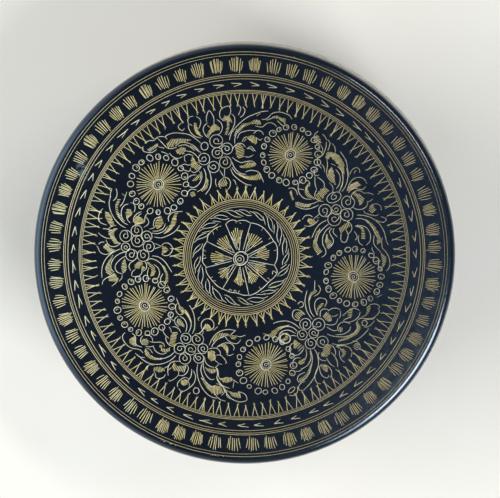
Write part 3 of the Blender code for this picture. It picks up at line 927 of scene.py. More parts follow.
    pen.fill((6.8, -4.6, 8.2, -4.4, 9.4, -4.8), (7.2, -5.4, 8.6, -6.4, 9.6, -6.2))
    pen.line(8.4, -4.0, 9.8, -4.4, 10.6, -5.6, 10.2, -6.9)
    pen.line(10.6, -5.0, 11.8, -5.2, 12.6, -6.2, 12.4, -6.9)
    pen.line(-13.5, 7.5, -15.0, 8.2, -17.0, 9.1, -19.0, 9.2, -20.5, 8.8, -21.5, 8.0)
    pen.line(-21.5, 8.2, -22.0, 7.2, -21.2, 6.2, -20.0, 5.8, -18.3, 6.1)
    pen.fill((-19.8, 7.6, -18.5, 8.3, -16.8, 8.2, -16.0, 7.6),
             (-19.2, 6.6, -18.6, 6.1, -17.2, 7.0, -16.0, 7.3))
    pen.line(-16.0, 7.6, -14.2, 7.4)
    pen.line(14.8, 8.9, 16.0, 8.5, 17.4, 8.8, 18.5, 9.2, 20.0, 9.2, 21.4, 8.7, 22.5, 8.0, 23.2, 7.0, 22.9,
             5.7)
    pen.line(15.9, 7.4, 17.3, 7.6, 18.3, 7.3, 18.8, 6.2, 19.5, 5.2, 20.9, 4.8)
    pen.fill((17.4, 7.9, 18.6, 8.3, 19.8, 8.2, 20.7, 7.2, 20.0, 5.7),
             (17.9, 7.5, 18.5, 7.2, 18.9, 6.6, 19.3, 5.5))
    pen.line(16.0, 6.6, 17.1, 6.0, 17.5, 5.0, 17.3, 4.0)
    pen.loop(-6.1, 12.1, 1.0)


def left_flower(pen):
    for ring in ((-1.1, 0.7, 1.9), (-0.2, 4.7, 1.9), (-3.8, 4.1, 1.4), (-5.9, 1.8, 1.9), (-5.4, -1.9, 1.9),
                 (-2.2, -3.2, 1.8), (0.9, -2.0, 1.7), (2.1, 1.5, 1.8)):
        pen.snail(*ring)
    pen.line(-2.6, -5.2, -1.6, -7.0)
    pen.line(-0.9, -5.0, -1.4, -7.0)
    pen.line(-1.4, -7.1, -0.3, -8.0, -0.1, -9.4, -1.0, -10.6, -2.4, -10.8, -3.8, -10.0, -4.2, -8.6, -3.8,
             -7.7)
    pen.fill((-3.7, -7.7, -2.8, -7.6, -1.6, -7.5), (-3.0, -8.9, -2.4, -9.5, -1.5, -8.9))
    pen.line(-5.2, 7.4, -6.6, 8.6, -7.3, 10.6, -6.6, 12.2, -5.6, 12.8, -5.0, 13.4)
    pen.line(-4.4, 12.9, -3.6, 12.2, -3.4, 11.2)
    pen.fill((-6.6, 8.8, -5.8, 10.2, -5.2, 11.2, -4.4, 10.8), (-5.3, 7.5, -4.9, 8.8, -4.4, 9.6, -3.8, 10.3))
    pen.line(-2.6, 10.8, -3.8, 9.9, -4.4, 8.6, -3.9, 7.0, -2.8, 5.9)
    pen.line(-0.8, 13.6, -1.6, 12.2, -2.0, 10.6, -1.8, 9.0)
    pen.line(0.8, 12.4, 0.9, 10.6, 0.6, 9.4)
    pen.fill((-3.2, 8.0, -1.6, 9.4, 0.2, 10.6, 1.4, 8.8), (-2.8, 6.2, -2.0, 7.4, -0.4, 8.6, 1.6, 7.6))
    pen.line(0.9, 10.6, 1.8, 10.0, 2.6, 8.4)
    pen.line(2.2, 11.4, 2.4, 13.0, 3.2, 14.2, 4.6, 14.4, 6.0, 14.2, 7.2, 13.4)
    pen.fill((2.2, 10.2, 3.4, 11.4, 4.8, 12.2, 6.2, 12.5), (2.8, 8.9, 3.8, 9.6, 5.0, 10.2, 6.0, 11.2))
    pen.line(-4.6, 5.6, -5.8, 7.4, -8.0, 9.4, -10.6, 10.4, -13.0, 10.4, -14.8, 10.0)
    pen.line(-5.2, 3.6, -6.0, 5.4, -7.6, 7.0, -9.6, 7.8, -11.4, 7.6, -12.4, 6.4)
    pen.fill((-13.6, 8.0, -12.4, 9.4, -10.4, 9.2, -8.4, 8.4, -7.2, 7.9),
             (-12.6, 6.8, -11.6, 7.7, -10.0, 8.3, -8.8, 8.0, -7.3, 7.6))
    pen.line(-6.6, 3.6, -7.6, 4.8, -9.2, 6.0, -10.8, 6.4, -12.2, 5.4, -12.4, 4.0)
    pen.fill((-11.8, 4.0, -10.6, 4.4, -9.2, 4.5, -7.6, 4.0), (-11.0, 2.8, -10.0, 2.8, -9.0, 3.0, -7.7, 3.6))
    pen.line(-12.4, 3.9, -11.6, 3.0, -10.6, 2.7)
    pen.line(-17.0, 9.6, -15.6, 9.4, -14.6, 8.4, -13.6, 7.2, -12.8, 6.0)
    pen.fill((-15.4, 7.8, -14.6, 8.0, -13.0, 6.6), (-15.0, 4.8, -14.0, 4.9, -12.9, 6.0))
    pen.line(-17.0, 6.4, -15.6, 5.2, -14.4, 4.8)
    pen.line(-15.0, 4.4, -13.8, 3.6, -12.6, 3.8)
    pen.line(-10.9, 1.2, -9.8, 2.0, -8.6, 1.8, -7.6, 0.8, -6.6, 0.1)
    pen.fill((-9.8, 0.2, -8.9, 0.4, -7.8, -0.6), (-9.6, -1.6, -8.4, -2.2, -7.6, -2.2))
    pen.line(-12.6, 0.6, -11.4, 0.7, -10.2, -0.2)
    pen.line(-12.7, 0.4, -12.4, -1.4, -11.2, -2.4, -9.9, -2.3)
    pen.line(-10.4, -2.6, -9.8, -3.4, -8.4, -3.6, -7.0, -2.6)
    pen.patch(-9.4, -2.6, 1.2, 1.0, 0)
    pen.line(-9.0, -4.4, -10.8, -4.2, -12.2, -4.8, -12.4, -5.6)
    pen.line(-12.6, -6.4, -11.8, -7.7, -10.0, -8.1, -8.4, -7.2, -7.6, -5.8)
    pen.fill((-11.6, -5.2, -10.0, -5.4, -8.4, -4.4, -7.6, -3.4),
             (-10.8, -6.5, -9.4, -6.6, -8.0, -5.8, -7.2, -4.0))
    pen.line(-7.0, -3.2, -6.0, -4.4, -6.2, -6.4, -7.4, -8.4, -9.4, -9.8)
    pen.line(-5.0, -4.8, -5.0, -6.8, -6.0, -9.0, -7.8, -10.8, -9.0, -11.9)
    pen.line(-14.0, -10.4, -13.4, -9.2, -11.8, -8.7, -10.0, -9.2)
    pen.fill((-13.2, -10.0, -11.4, -10.2, -9.6, -9.8, -7.4, -8.4),
             (-12.6, -11.1, -11.2, -11.2, -9.6, -10.6, -7.8, -9.4))
    pen.line(-13.4, -11.2, -14.6, -12.2)
    pen.line(2.3, 5.2, 3.2, 7.4, 4.8, 9.4, 7.0, 11.0, 9.4, 11.8, 11.6, 11.6)
    pen.line(11.0, 11.8, 12.6, 11.9, 13.9, 11.6)
    pen.line(10.2, 10.6, 11.4, 9.8, 13.0, 9.8, 14.2, 10.4)
    pen.line(3.4, 4.6, 4.2, 6.6, 5.4, 7.8, 6.6, 8.4)
    pen.fill((4.2, 6.6, 6.0, 8.8, 8.4, 9.6, 10.8, 9.4), (4.6, 5.8, 6.4, 7.8, 8.6, 8.8, 11.0, 8.2))
    pen.line(8.6, 8.2, 10.2, 7.4, 12.2, 7.0, 13.8, 6.8)
    pen.line(12.4, 7.2, 13.0, 8.2)
    pen.line(5.0, 6.6, 6.4, 7.3, 8.0, 7.4, 9.4, 6.8, 10.1, 5.6)
    pen.line(4.2, 4.0, 5.0, 5.0, 6.2, 5.6)
    pen.fill((5.4, 5.2, 6.8, 5.9, 8.2, 5.9), (6.2, 4.6, 7.4, 3.6, 8.4, 4.4))
    pen.line(10.6, 5.0, 10.4, 3.8, 9.0, 3.2, 7.8, 3.4)
    pen.fill((3.9, 2.4, 5.2, 3.2, 6.6, 2.6), (4.4, 1.0, 5.2, -0.6, 6.4, 0.6))
    pen.line(4.6, 3.0, 6.2, 3.1, 7.6, 2.2, 8.4, 1.0)
    pen.line(5.6, 1.7, 6.8, 1.8, 7.8, 1.0)
    pen.line(3.6, -0.6, 4.8, -1.8, 6.0, -1.7, 7.0, -0.6)
    pen.line(5.2, -0.6, 7.0, -0.4, 8.2, -1.0)
    pen.line(3.3, -2.4, 4.0, -3.8, 5.0, -4.2)
    pen.line(4.4, -3.6, 5.6, -3.4, 7.0, -3.8, 7.8, -5.0)
    pen.fill((3.8, -4.6, 5.2, -4.0, 6.8, -4.2, 7.9, -4.8), (4.6, -5.8, 5.8, -6.6, 7.0, -6.2, 8.0, -5.6))
    pen.line(1.1, -4.4, 1.2, -6.6, 2.4, -8.8, 4.2, -10.8, 6.2, -11.8)
    pen.line(2.2, -3.4, 2.4, -5.4, 3.6, -7.2, 5.2, -8.0)
    pen.line(2.9, -3.6, 3.2, -5.2, 4.4, -6.8, 6.0, -7.2)
    pen.fill((2.6, -7.2, 4.2, -8.0, 6.0, -8.8, 8.0, -9.0), (3.8, -8.8, 5.2, -9.9, 7.0, -10.6, 8.4, -10.4))
    pen.fill((8.0, -9.2, 9.6, -9.6), (8.2, -10.4, 10.0, -10.6))
    pen.line(6.8, -8.2, 8.0, -7.8, 9.4, -8.4, 10.2, -9.6, 10.6, -11.2, 10.8, -12.0)


def upper_flower(pen):
    for ring in ((-1.6, 0.4, 1.7), (-1.2, 4.1, 2.1), (-6.2, -0.7, 1.85), (-3.7, -3.8, 1.8),
                 (0.3, -3.1, 1.9), (1.7, 1.1, 1.8)):
        pen.snail(*ring)
    pen.loop(-5.2, 3.3, 1.2)
    pen.line(-2.0, -5.2, -1.2, -7.4)
    pen.line(-0.4, -5.2, -0.9, -7.4)
    pen.line(-1.0, -7.6, 0.2, -8.4, 0.6, -9.8, 0.0, -11.2, -0.8, -11.8)
    pen.line(-1.0, -7.7, -2.6, -8.6, -3.2, -9.8, -2.8, -11.0)
    pen.fill((-3.0, -9.3, -2.0, -8.6, -0.9, -8.2), (-2.4, -10.3, -1.4, -10.7, -0.5, -10.0))
    pen.line(-3.7, -7.6, -4.1, -8.8, -4.0, -10.2)
    pen.line(1.6, -9.0, 2.1, -9.6, 2.2, -10.8)
    pen.line(-5.8, 6.1, -7.6, 7.0, -8.8, 8.8, -9.0, 10.8, -8.2, 11.0, -7.8, 10.4)
    pen.line(-8.8, 11.2, -8.8, 12.6, -8.0, 13.4, -6.8, 13.4)
    pen.line(-6.0, 13.1, -5.0, 12.2, -4.9, 10.8, -6.0, 9.0)
    pen.line(-5.2, 6.4, -6.2, 7.2, -6.4, 8.6)
    pen.fill((-7.0, 11.2, -7.4, 9.4, -7.0, 7.8), (-6.2, 10.6, -6.3, 9.0, -5.4, 6.6))
    pen.line(-3.0, 10.8, -2.8, 12.2, -1.6, 14.1, -0.8, 12.9, -0.5, 11.4, -0.8, 10.0)
    pen.line(-2.8, 10.4, -4.0, 9.6, -4.6, 8.4, -4.2, 6.6, -3.2, 5.4)
    pen.line(0.4, 10.8, 1.4, 9.6, 1.6, 8.0, 0.6, 6.4, -0.4, 6.0)
    pen.fill((-3.8, 6.9, -2.2, 8.4, -0.8, 9.8, 0.6, 8.2), (-3.2, 5.9, -2.0, 7.0, -0.8, 7.5, 0.4, 7.4))
    pen.line(-3.0, 9.6, -2.2, 8.7)
    pen.line(2.2, 10.2, 1.5, 11.4, 1.7, 12.8, 2.6, 14.0, 4.0, 14.3, 5.1, 14.2, 5.3, 12.8, 4.8, 11.6, 4.0,
             11.0)
    pen.line(5.4, 11.6, 6.0, 10.6, 5.8, 8.8, 4.6, 6.8, 2.9, 5.2)
    pen.fill((2.2, 10.4, 3.0, 11.6, 4.4, 11.0), (2.4, 9.8, 3.4, 9.8, 4.9, 9.0))
    pen.fill((3.3, 9.6, 3.0, 7.8, 2.0, 5.8), (4.1, 9.4, 3.8, 7.6, 2.6, 5.5), pitch=0.5)
    pen.line(8.0, 14.0, 8.6, 12.8, 7.4, 10.8)
    pen.line(9.3, 13.1, 9.8, 12.0, 9.0, 10.6, 7.8, 10.0)
    pen.line(-11.0, 12.0, -12.2, 11.2, -11.8, 10.0, -11.0, 9.6, -10.4, 10.2)
    pen.line(-6.2, 4.4, -7.2, 5.8, -9.2, 7.8, -11.6, 8.8, -14.0, 9.4, -16.2, 9.2, -16.9, 8.6, -16.4, 7.8)
    pen.fill((-16.8, 6.6, -15.2, 7.6, -12.8, 7.3, -10.8, 6.8, -9.2, 6.3),
             (-16.6, 5.0, -14.8, 5.4, -12.8, 6.1, -11.0, 5.9, -9.2, 6.0))
    pen.line(-16.8, 4.9, -15.4, 4.6, -14.0, 4.8)
    pen.line(-14.4, 5.2, -12.4, 6.0, -10.4, 5.4, -8.6, 4.2, -7.4, 2.4, -6.8, 1.4)
    pen.line(-13.6, 5.0, -11.4, 5.0, -9.8, 4.0, -8.6, 2.6)
    pen.line(-9.6, 4.4, -8.2, 3.0, -7.4, 1.8)
    pen.fill((-14.4, 3.8, -13.0, 4.5, -11.6, 4.2), (-14.0, 2.6, -12.6, 2.0, -11.4, 3.0))
    pen.line(-16.7, 3.4, -16.0, 2.2, -14.6, 1.2, -12.8, 1.4)
    pen.line(-11.4, 3.0, -9.8, 2.4, -8.6, 1.2, -8.0, 0.0)
    pen.line(-12.4, 1.4, -10.8, 1.8, -9.4, 1.0)
    pen.line(-12.2, 1.2, -12.4, 0.2, -12.0, -0.4)
    pen.fill((-9.8, 0.8, -10.4, -0.2, -10.6, -1.4), (-9.2, -0.4, -9.0, -1.0, -8.8, -1.6))
    pen.line(-14.0, -1.3, -12.6, -1.0, -11.6, -1.6, -10.4, -1.6)
    pen.line(-14.1, -1.6, -13.2, -2.8, -11.6, -3.6, -11.0, -2.6)
    pen.fill((-10.8, -2.4, -10.0, -2.9, -9.4, -3.6), (-9.0, -1.0, -8.2, -1.8, -7.8, -2.8))
    pen.line(-11.2, -3.4, -10.2, -4.3, -8.8, -3.9, -7.4, -2.8)
    pen.line(-12.9, -6.6, -12.4, -5.6, -11.0, -5.0, -9.6, -5.2)
    pen.line(-13.2, -7.6, -12.2, -8.6, -10.8, -8.9, -9.2, -8.0, -8.0, -6.2, -7.8, -4.4)
    pen.fill((-11.2, -6.6, -10.0, -5.8, -8.8, -5.2), (-10.8, -6.8, -9.6, -6.8, -8.8, -6.0))
    pen.line(-8.8, -6.8, -8.2, -5.4, -8.4, -4.2)
    pen.line(-6.9, -3.6, -6.6, -5.6, -7.2, -8.0, -8.6, -9.8, -10.4, -10.5)
    pen.line(-5.3, -4.6, -5.2, -7.2, -6.0, -9.8, -8.0, -11.9)
    pen.fill((-6.6, -7.0, -7.4, -8.8, -9.0, -10.0), (-6.2, -8.0, -7.0, -9.9, -8.8, -10.8))
    pen.line(-14.0, -11.4, -13.6, -10.2, -12.2, -9.3, -10.6, -9.9)
    pen.patch(-12.0, -11.0, 1.6, 1.6, 10)
    pen.line(3.0, 3.6, 4.0, 5.6, 6.4, 7.6, 9.6, 9.4, 12.6, 10.1, 15.0, 10.4, 17.0, 10.2)
    pen.line(13.0, 9.4, 14.4, 10.0)
    pen.line(4.4, 2.2, 5.0, 4.2, 6.6, 6.2, 8.8, 7.4)
    pen.line(4.8, 4.6, 6.0, 6.6)
    pen.fill((5.6, 6.0, 8.0, 7.8, 10.4, 7.8, 12.4, 8.4, 13.6, 7.8),
             (6.4, 5.4, 8.4, 6.6, 10.6, 7.2, 12.6, 6.8, 13.8, 6.4))
    pen.line(12.0, 6.4, 14.0, 5.6, 15.8, 6.4, 17.0, 6.4)
    pen.line(5.6, 3.6, 6.6, 5.0, 8.6, 5.4, 10.6, 5.2, 12.2, 4.6)
    pen.line(11.0, 4.0, 12.2, 4.8, 13.6, 4.2, 14.0, 3.0)
    pen.line(6.8, 2.2, 7.6, 3.2, 8.8, 3.6)
    pen.line(7.4, 2.2, 8.4, 2.9)
    pen.fill((8.8, 3.2, 10.0, 3.8, 11.6, 2.6), (9.6, 2.0, 10.4, 1.0, 11.2, 0.6))
    pen.line(11.8, 2.4, 12.6, 1.6, 13.4, 2.0)
    pen.fill((4.2, 1.4, 4.2, -0.6, 4.4, -2.6), (6.4, 1.6, 6.9, -0.4, 6.4, -2.4))
    pen.line(3.2, 0.4, 4.2, 1.4, 5.6, 2.0, 6.8, 1.6, 7.6, 0.4)
    pen.line(7.8, -0.2, 9.0, -0.4, 9.8, -1.4)
    pen.line(6.6, -2.4, 8.0, -3.0, 9.6, -2.5)
    pen.line(8.2, 0.0, 9.4, 0.2, 10.0, -0.8, 10.4, -1.6)
    pen.line(2.8, -2.0, 3.8, -3.2, 5.2, -4.2, 6.6, -4.2, 8.6, -4.4, 9.8, -5.6)
    pen.fill((4.6, -5.2, 6.2, -5.0, 7.6, -4.6, 9.6, -5.4), (5.2, -5.9, 6.6, -6.2, 8.0, -6.4, 9.6, -6.0))
    pen.line(1.5, -5.4, 2.0, -7.4, 3.6, -9.6, 5.6, -11.4, 7.0, -11.9)
    pen.line(2.4, -3.4, 2.8, -5.4, 4.2, -7.4, 6.0, -8.2)
    pen.line(2.0, -5.0, 2.8, -6.8, 4.4, -8.6)
    pen.fill((3.6, -7.4, 5.6, -8.6, 8.0, -9.0, 10.2, -8.6), (5.0, -9.0, 6.6, -10.1, 8.6, -10.6, 10.4, -10.6))
    pen.line(6.0, -7.4, 7.6, -7.2, 9.4, -7.8, 10.4, -8.8, 10.7, -10.2, 11.0, -11.8)
    pen.line(-17.0, 8.7, -18.2, 9.1, -19.5, 9.1, -20.9, 8.3, -22.1, 8.6, -23.9, 8.0)
    pen.line(-19.5, 8.9, -18.6, 7.5, -17.8, 6.2, -17.2, 5.3, -16.0, 4.6)
    pen.line(-24.5, 7.2, -24.9, 6.5, -24.7, 5.6, -23.7, 5.1, -22.1, 4.7, -20.5, 5.4)
    pen.fill((-23.3, 6.0, -21.7, 6.6, -19.9, 7.2), (-22.5, 5.1, -21.3, 5.6, -19.9, 6.2))
    pen.line(-19.7, 6.0, -18.6, 5.6, -18.0, 5.2)
    pen.line(-19.2, 4.4, -18.2, 3.8, -17.0, 2.9)
    pen.line(14.4, 8.0, 15.6, 7.8, 16.8, 8.3, 17.9, 9.1, 19.3, 9.3, 20.9, 9.0, 22.3, 8.2, 23.4, 7.4, 23.9,
             6.1)
    pen.line(15.8, 7.4, 17.2, 7.6, 18.1, 7.9)
    pen.fill((18.1, 8.2, 19.2, 8.2, 20.5, 7.3, 21.8, 6.7), (18.1, 7.5, 19.3, 7.2, 20.3, 6.4, 21.3, 5.0))
    pen.line(19.2, 6.6, 19.9, 5.6, 20.5, 4.8, 21.1, 4.3)
    pen.line(16.9, 6.4, 17.4, 6.2, 18.1, 5.6, 18.6, 4.8)


def right_flower(pen):
    for ring in ((-0.8, -0.6, 1.6), (-1.3, 3.8, 2.1), (-4.7, 0.4, 1.6, 1.5), (-2.1, -4.0, 2.0),
                 (1.7, -2.5, 2.1), (2.1, 1.7, 2.0)):
        pen.snail(*ring)
    pen.line(-1.9, -5.9, -1.6, -7.2, -1.3, -8.2)
    pen.line(-0.9, -6.6, -1.1, -7.4)
    pen.line(-1.9, -8.4, -3.0, -9.2, -3.3, -10.6, -2.6, -11.8)
    pen.line(-0.3, -7.2, 0.3, -8.6, 0.3, -10.6, -0.6, -12.0)
    pen.fill((-2.0, -9.6, -1.2, -8.4, -0.2, -8.0), (-1.4, -10.6, -0.6, -10.6, 0.3, -9.8))
    pen.line(-4.8, 5.2, -6.2, 6.4, -7.3, 8.4, -7.0, 10.4, -5.8, 11.6, -4.0, 11.8)
    pen.line(-3.4, 11.0, -3.0, 9.8, -4.0, 8.2, -4.6, 7.4, -4.5, 6.2, -4.0, 5.2)
    pen.fill((-6.0, 9.2, -5.2, 10.0, -4.6, 9.8), (-6.0, 6.8, -5.2, 5.4, -4.4, 5.3), pitch=0.4)
    pen.line(-1.7, 9.6, -1.2, 11.0, 0.0, 12.2)
    pen.line(1.1, 11.4, 1.4, 10.4, 1.2, 9.2)
    pen.line(-1.8, 9.6, -2.8, 9.0, -3.5, 7.8, -3.3, 6.4, -2.4, 5.5, -1.2, 5.7)
    pen.line(1.6, 9.4, 2.5, 8.4, 2.6, 6.8, 1.8, 5.2, 0.6, 4.4)
    pen.fill((-3.3, 7.2, -1.8, 8.4, -0.2, 8.9, 0.9, 7.8), (-3.1, 6.3, -1.6, 6.8, 0.0, 6.9, 1.0, 6.7))
    pen.line(2.7, 10.6, 3.2, 12.0, 4.4, 12.7, 5.6, 12.3)
    pen.line(6.4, 11.0, 6.4, 10.0, 5.4, 8.6, 4.0, 7.2, 3.2, 7.3)
    pen.fill((2.6, 10.8, 3.6, 10.6, 4.6, 10.8), (3.0, 9.3, 4.2, 8.6, 5.0, 9.2))
    pen.line(7.4, 11.3, 8.2, 12.2, 9.0, 12.5, 9.4, 11.4, 8.6, 10.2, 7.6, 9.4)
    pen.line(-9.2, 8.1, -10.2, 9.6, -10.2, 11.0, -9.2, 11.6, -8.2, 11.2)
    pen.line(-9.4, 10.6, -9.2, 9.8, -8.7, 9.5)
    pen.line(-5.2, 3.4, -6.6, 5.6, -9.0, 7.4, -11.4, 8.0)
    pen.line(-8.6, 7.6, -11.0, 8.2, -13.6, 8.9, -17.0, 8.5)
    pen.line(-5.6, 2.6, -7.0, 4.4, -9.2, 5.8, -11.4, 6.2, -13.2, 5.6)
    pen.line(-6.4, 3.6, -8.4, 5.4, -10.4, 6.0)
    pen.fill((-17.0, 7.0, -15.2, 7.8, -12.8, 7.8, -10.0, 6.6),
             (-17.0, 5.0, -15.4, 5.4, -13.6, 6.0, -11.0, 6.1), pitch=0.42)
    pen.line(-12.6, 4.7, -10.8, 5.1, -9.0, 4.7, -7.6, 3.6, -6.8, 2.2)
    pen.fill((-13.6, 4.0, -12.0, 3.8, -10.0, 3.2, -8.2, 2.7),
             (-13.0, 2.4, -11.8, 1.6, -10.2, 2.0, -8.4, 2.3), pitch=0.42)
    pen.line(-16.8, 3.6, -15.0, 3.0, -13.4, 2.0, -12.0, 1.4, -10.2, 1.6, -9.0, 2.2)
    pen.line(-13.6, 5.2, -14.8, 4.2)
    pen.line(-16.0, 1.4, -14.6, 1.6, -13.2, 1.2)
    pen.line(-15.2, -0.2, -15.2, -1.4, -14.2, -2.1, -13.4, -1.8, -13.2, -0.8)
    pen.line(-12.8, -1.6, -11.4, -0.8, -10.0, -0.5, -9.0, -1.0)
    pen.line(-13.4, -2.2, -11.2, -3.2, -9.4, -3.5)
    pen.fill((-8.9, -1.0, -8.8, -2.2, -8.4, -3.6), (-7.2, -0.2, -6.6, -1.6, -6.0, -3.0))
    pen.line(-9.6, 1.1, -8.6, 1.4, -7.4, 1.4, -6.4, 0.7)
    pen.line(-9.2, -3.6, -8.4, -4.6, -7.0, -5.0, -5.6, -4.2, -5.0, -3.2)
    pen.fill((-8.0, -3.8, -6.2, -3.6), (-7.4, -4.6, -5.6, -4.2))
    pen.line(-13.6, -5.6, -13.2, -4.9, -12.2, -4.6, -11.2, -5.2)
    pen.line(-14.0, -6.6, -13.6, -7.8, -12.0, -8.8, -10.2, -9.0, -8.4, -8.2, -7.2, -6.4)
    pen.fill((-12.2, -4.8, -10.8, -6.0, -9.2, -6.1, -7.0, -5.2),
             (-11.6, -6.2, -10.2, -7.3, -8.6, -7.2, -7.0, -5.8))
    pen.line(-11.0, -7.2, -12.0, -8.6)
    pen.line(-5.7, -4.2, -5.8, -6.4, -6.6, -8.8, -8.4, -10.8)
    pen.line(-4.6, -5.0, -4.6, -7.4, -5.4, -9.8, -7.4, -11.9)
    pen.fill((-5.8, -7.2, -6.8, -9.4, -8.6, -11.2), (-5.4, -8.4, -6.4, -10.4, -7.6, -11.6))
    pen.line(-13.5, -11.6, -13.2, -10.4, -12.0, -9.6, -10.4, -9.8)
    pen.fill((-12.4, -11.0, -9.8, -11.4), (-12.0, -11.8, -9.6, -12.0))
    pen.line(3.6, 4.6, 4.6, 6.4, 6.4, 8.4, 9.0, 9.8, 12.0, 10.2, 15.2, 9.6, 16.6, 9.6)
    pen.line(4.5, 3.8, 5.4, 5.6, 7.4, 7.0, 9.8, 7.4, 12.6, 7.4)
    pen.fill((6.0, 6.6, 8.4, 7.9, 10.8, 8.4, 13.0, 8.4, 14.6, 8.0),
             (6.6, 6.4, 8.8, 7.0, 11.0, 7.2, 13.2, 7.2, 14.8, 6.4))
    pen.line(13.6, 8.9, 14.6, 8.2, 16.8, 7.4)
    pen.line(11.8, 6.9, 13.6, 5.8, 15.0, 5.6, 17.0, 6.2)
    pen.line(6.6, 2.6, 7.4, 4.6, 9.0, 5.8, 11.2, 5.8, 13.0, 4.8, 13.6, 3.2)
    pen.fill((6.6, 3.6, 8.0, 4.6, 9.4, 4.6, 11.6, 3.8), (6.8, 2.6, 8.0, 3.8, 9.2, 3.6, 10.8, 2.6))
    pen.line(9.8, 2.4, 11.0, 1.6, 12.4, 1.6, 13.2, 2.2)
    pen.line(8.0, 1.6, 9.0, 1.8, 10.2, 1.6, 10.6, 0.6)
    pen.line(3.2, 0.2, 4.4, 1.2, 5.6, 1.6, 7.0, 1.2, 7.8, 0.0, 7.8, -0.6)
    pen.fill((4.4, 1.0, 4.6, -0.4, 5.0, -2.2), (6.0, 0.8, 6.2, -0.8, 6.6, -2.4))
    pen.line(6.4, -0.6, 8.0, -0.6, 9.2, -1.4, 9.9, -2.4, 9.2, -3.4, 8.0, -3.2, 6.8, -2.4)
    pen.line(4.3, -3.8, 5.2, -4.6, 6.4, -4.4, 7.2, -4.0)
    pen.line(4.0, -4.4, 4.6, -5.6, 6.0, -5.7, 7.6, -5.6, 8.8, -6.6, 9.4, -8.4)
    pen.fill((4.9, -6.6, 6.2, -6.8, 7.6, -6.4, 8.6, -6.4), (6.0, -7.4, 6.8, -8.2, 8.0, -8.6, 9.0, -8.4))
    pen.line(0.9, -4.8, 1.0, -7.0, 2.0, -9.2, 4.0, -11.6)
    pen.line(2.3, -4.8, 2.8, -6.8, 4.0, -9.2, 5.6, -10.6)
    pen.line(3.4, -4.6, 3.8, -6.4, 5.2, -8.2, 7.2, -9.2, 9.2, -9.2, 10.6, -9.8, 11.0, -11.4)
    pen.fill((4.6, -10.2, 6.8, -10.8, 9.2, -10.4), (5.2, -11.6, 7.0, -12.4, 9.6, -12.2))
    pen.fill((2.4, -8.0, 3.0, -9.4, 4.0, -10.4), (3.2, -8.4, 3.8, -9.4, 4.6, -10.6))
    pen.line(16.7, 7.4, 18.1, 7.9, 19.9, 8.1, 21.5, 7.8, 22.8, 7.2, 23.7, 6.2, 23.9, 5.4)
    pen.line(17.0, 6.2, 18.3, 6.5)
    pen.fill((18.5, 6.6, 19.5, 7.2, 20.9, 6.8, 22.1, 5.6), (18.5, 6.1, 20.1, 5.8, 21.1, 5.2, 22.1, 4.8))
    pen.line(19.9, 5.2, 20.7, 4.2, 21.7, 3.8, 22.5, 4.3)
    pen.line(15.1, 4.7, 15.6, 4.3, 17.4, 4.4)
    pen.line(-25.9, 4.8, -25.6, 3.6, -24.7, 2.9, -23.7, 2.6, -22.5, 3.0, -21.8, 3.7)
    pen.fill((-24.8, 4.1, -23.8, 4.5, -22.3, 4.3), (-24.7, 3.1, -23.7, 3.0, -22.5, 3.2))
    pen.line(-24.5, 5.7, -23.5, 6.1, -22.1, 6.2)
    pen.line(-20.5, 7.2, -19.4, 7.5, -18.2, 7.3, -17.4, 6.8)
    pen.line(-22.1, 6.5, -21.1, 6.8, -20.2, 6.2, -19.0, 5.0)
    pen.line(-21.7, 5.8, -20.3, 5.0, -19.3, 4.0, -18.5, 3.0, -18.4, 1.5, -17.8, 0.7, -16.4, 0.3, -14.8, 0.8)
    pen.line(-21.7, 3.7, -20.3, 3.8, -19.2, 3.2)
    pen.fill((-17.6, 3.4, -18.6, 5.0, -17.4, 6.8), (-16.4, 4.0, -17.0, 5.0, -16.4, 5.6))


flowers = [("lower_right", -45.0, lower_right_flower), ("lower", -117.0, lower_flower),
           ("left", 170.0, left_flower)]
flowers += [("upper", 101.6, upper_flower), ("right", 25.5, right_flower)]
for name, degrees, draw in flowers:
    pen = Pen(33.8, degrees)
    draw(pen)
    baked(curve_object(f"flower_{name}", pen.strokes), DRAWN, {}, "lid")

# ---------------------------------------------------------------------------------------------
# The middle: a ring of plaited strokes, a scalloped ring, nine spokes and nine petals scratched
# round a small curl. Here u is to the right and v away from the holder.


def plait_mark():
    """A slim leaf of two strokes that rolls over the next one."""
    pen = Pen(0.0, 90.0)
    lift, drop = rng.uniform(-0.2, 0.2), rng.uniform(-0.2, 0.2)
    pen.line(2.8, -1.2 + drop, 1.4, -1.0, 0.0, -0.2 + drop, -1.3, 0.8, -2.8, 1.1, width=0.9)
    pen.line(2.4, -0.5, 1.2, 0.5 + lift, 0.0, 1.05 + lift, -1.5, 1.25, width=0.85)
    if rng.random() < 0.4:
        pen.line(-2.4, 0.2, -1.2, -0.5, -0.2, -1.2 + drop, width=0.85)
    return pen.strokes


at = (MEDALLION_OFF[0] * MM, MEDALLION_OFF[1] * MM, 0.0)
values = {"Count": 21, "Ring Radius": 14.2 * MM, "Centre": at, "Turn Jitter": 0.18, "Step Jitter": 0.12}
values.update({"Size Jitter": 0.12, "Seed": 60})
around("plait_ring", [plait_mark() for i in range(8)], values)

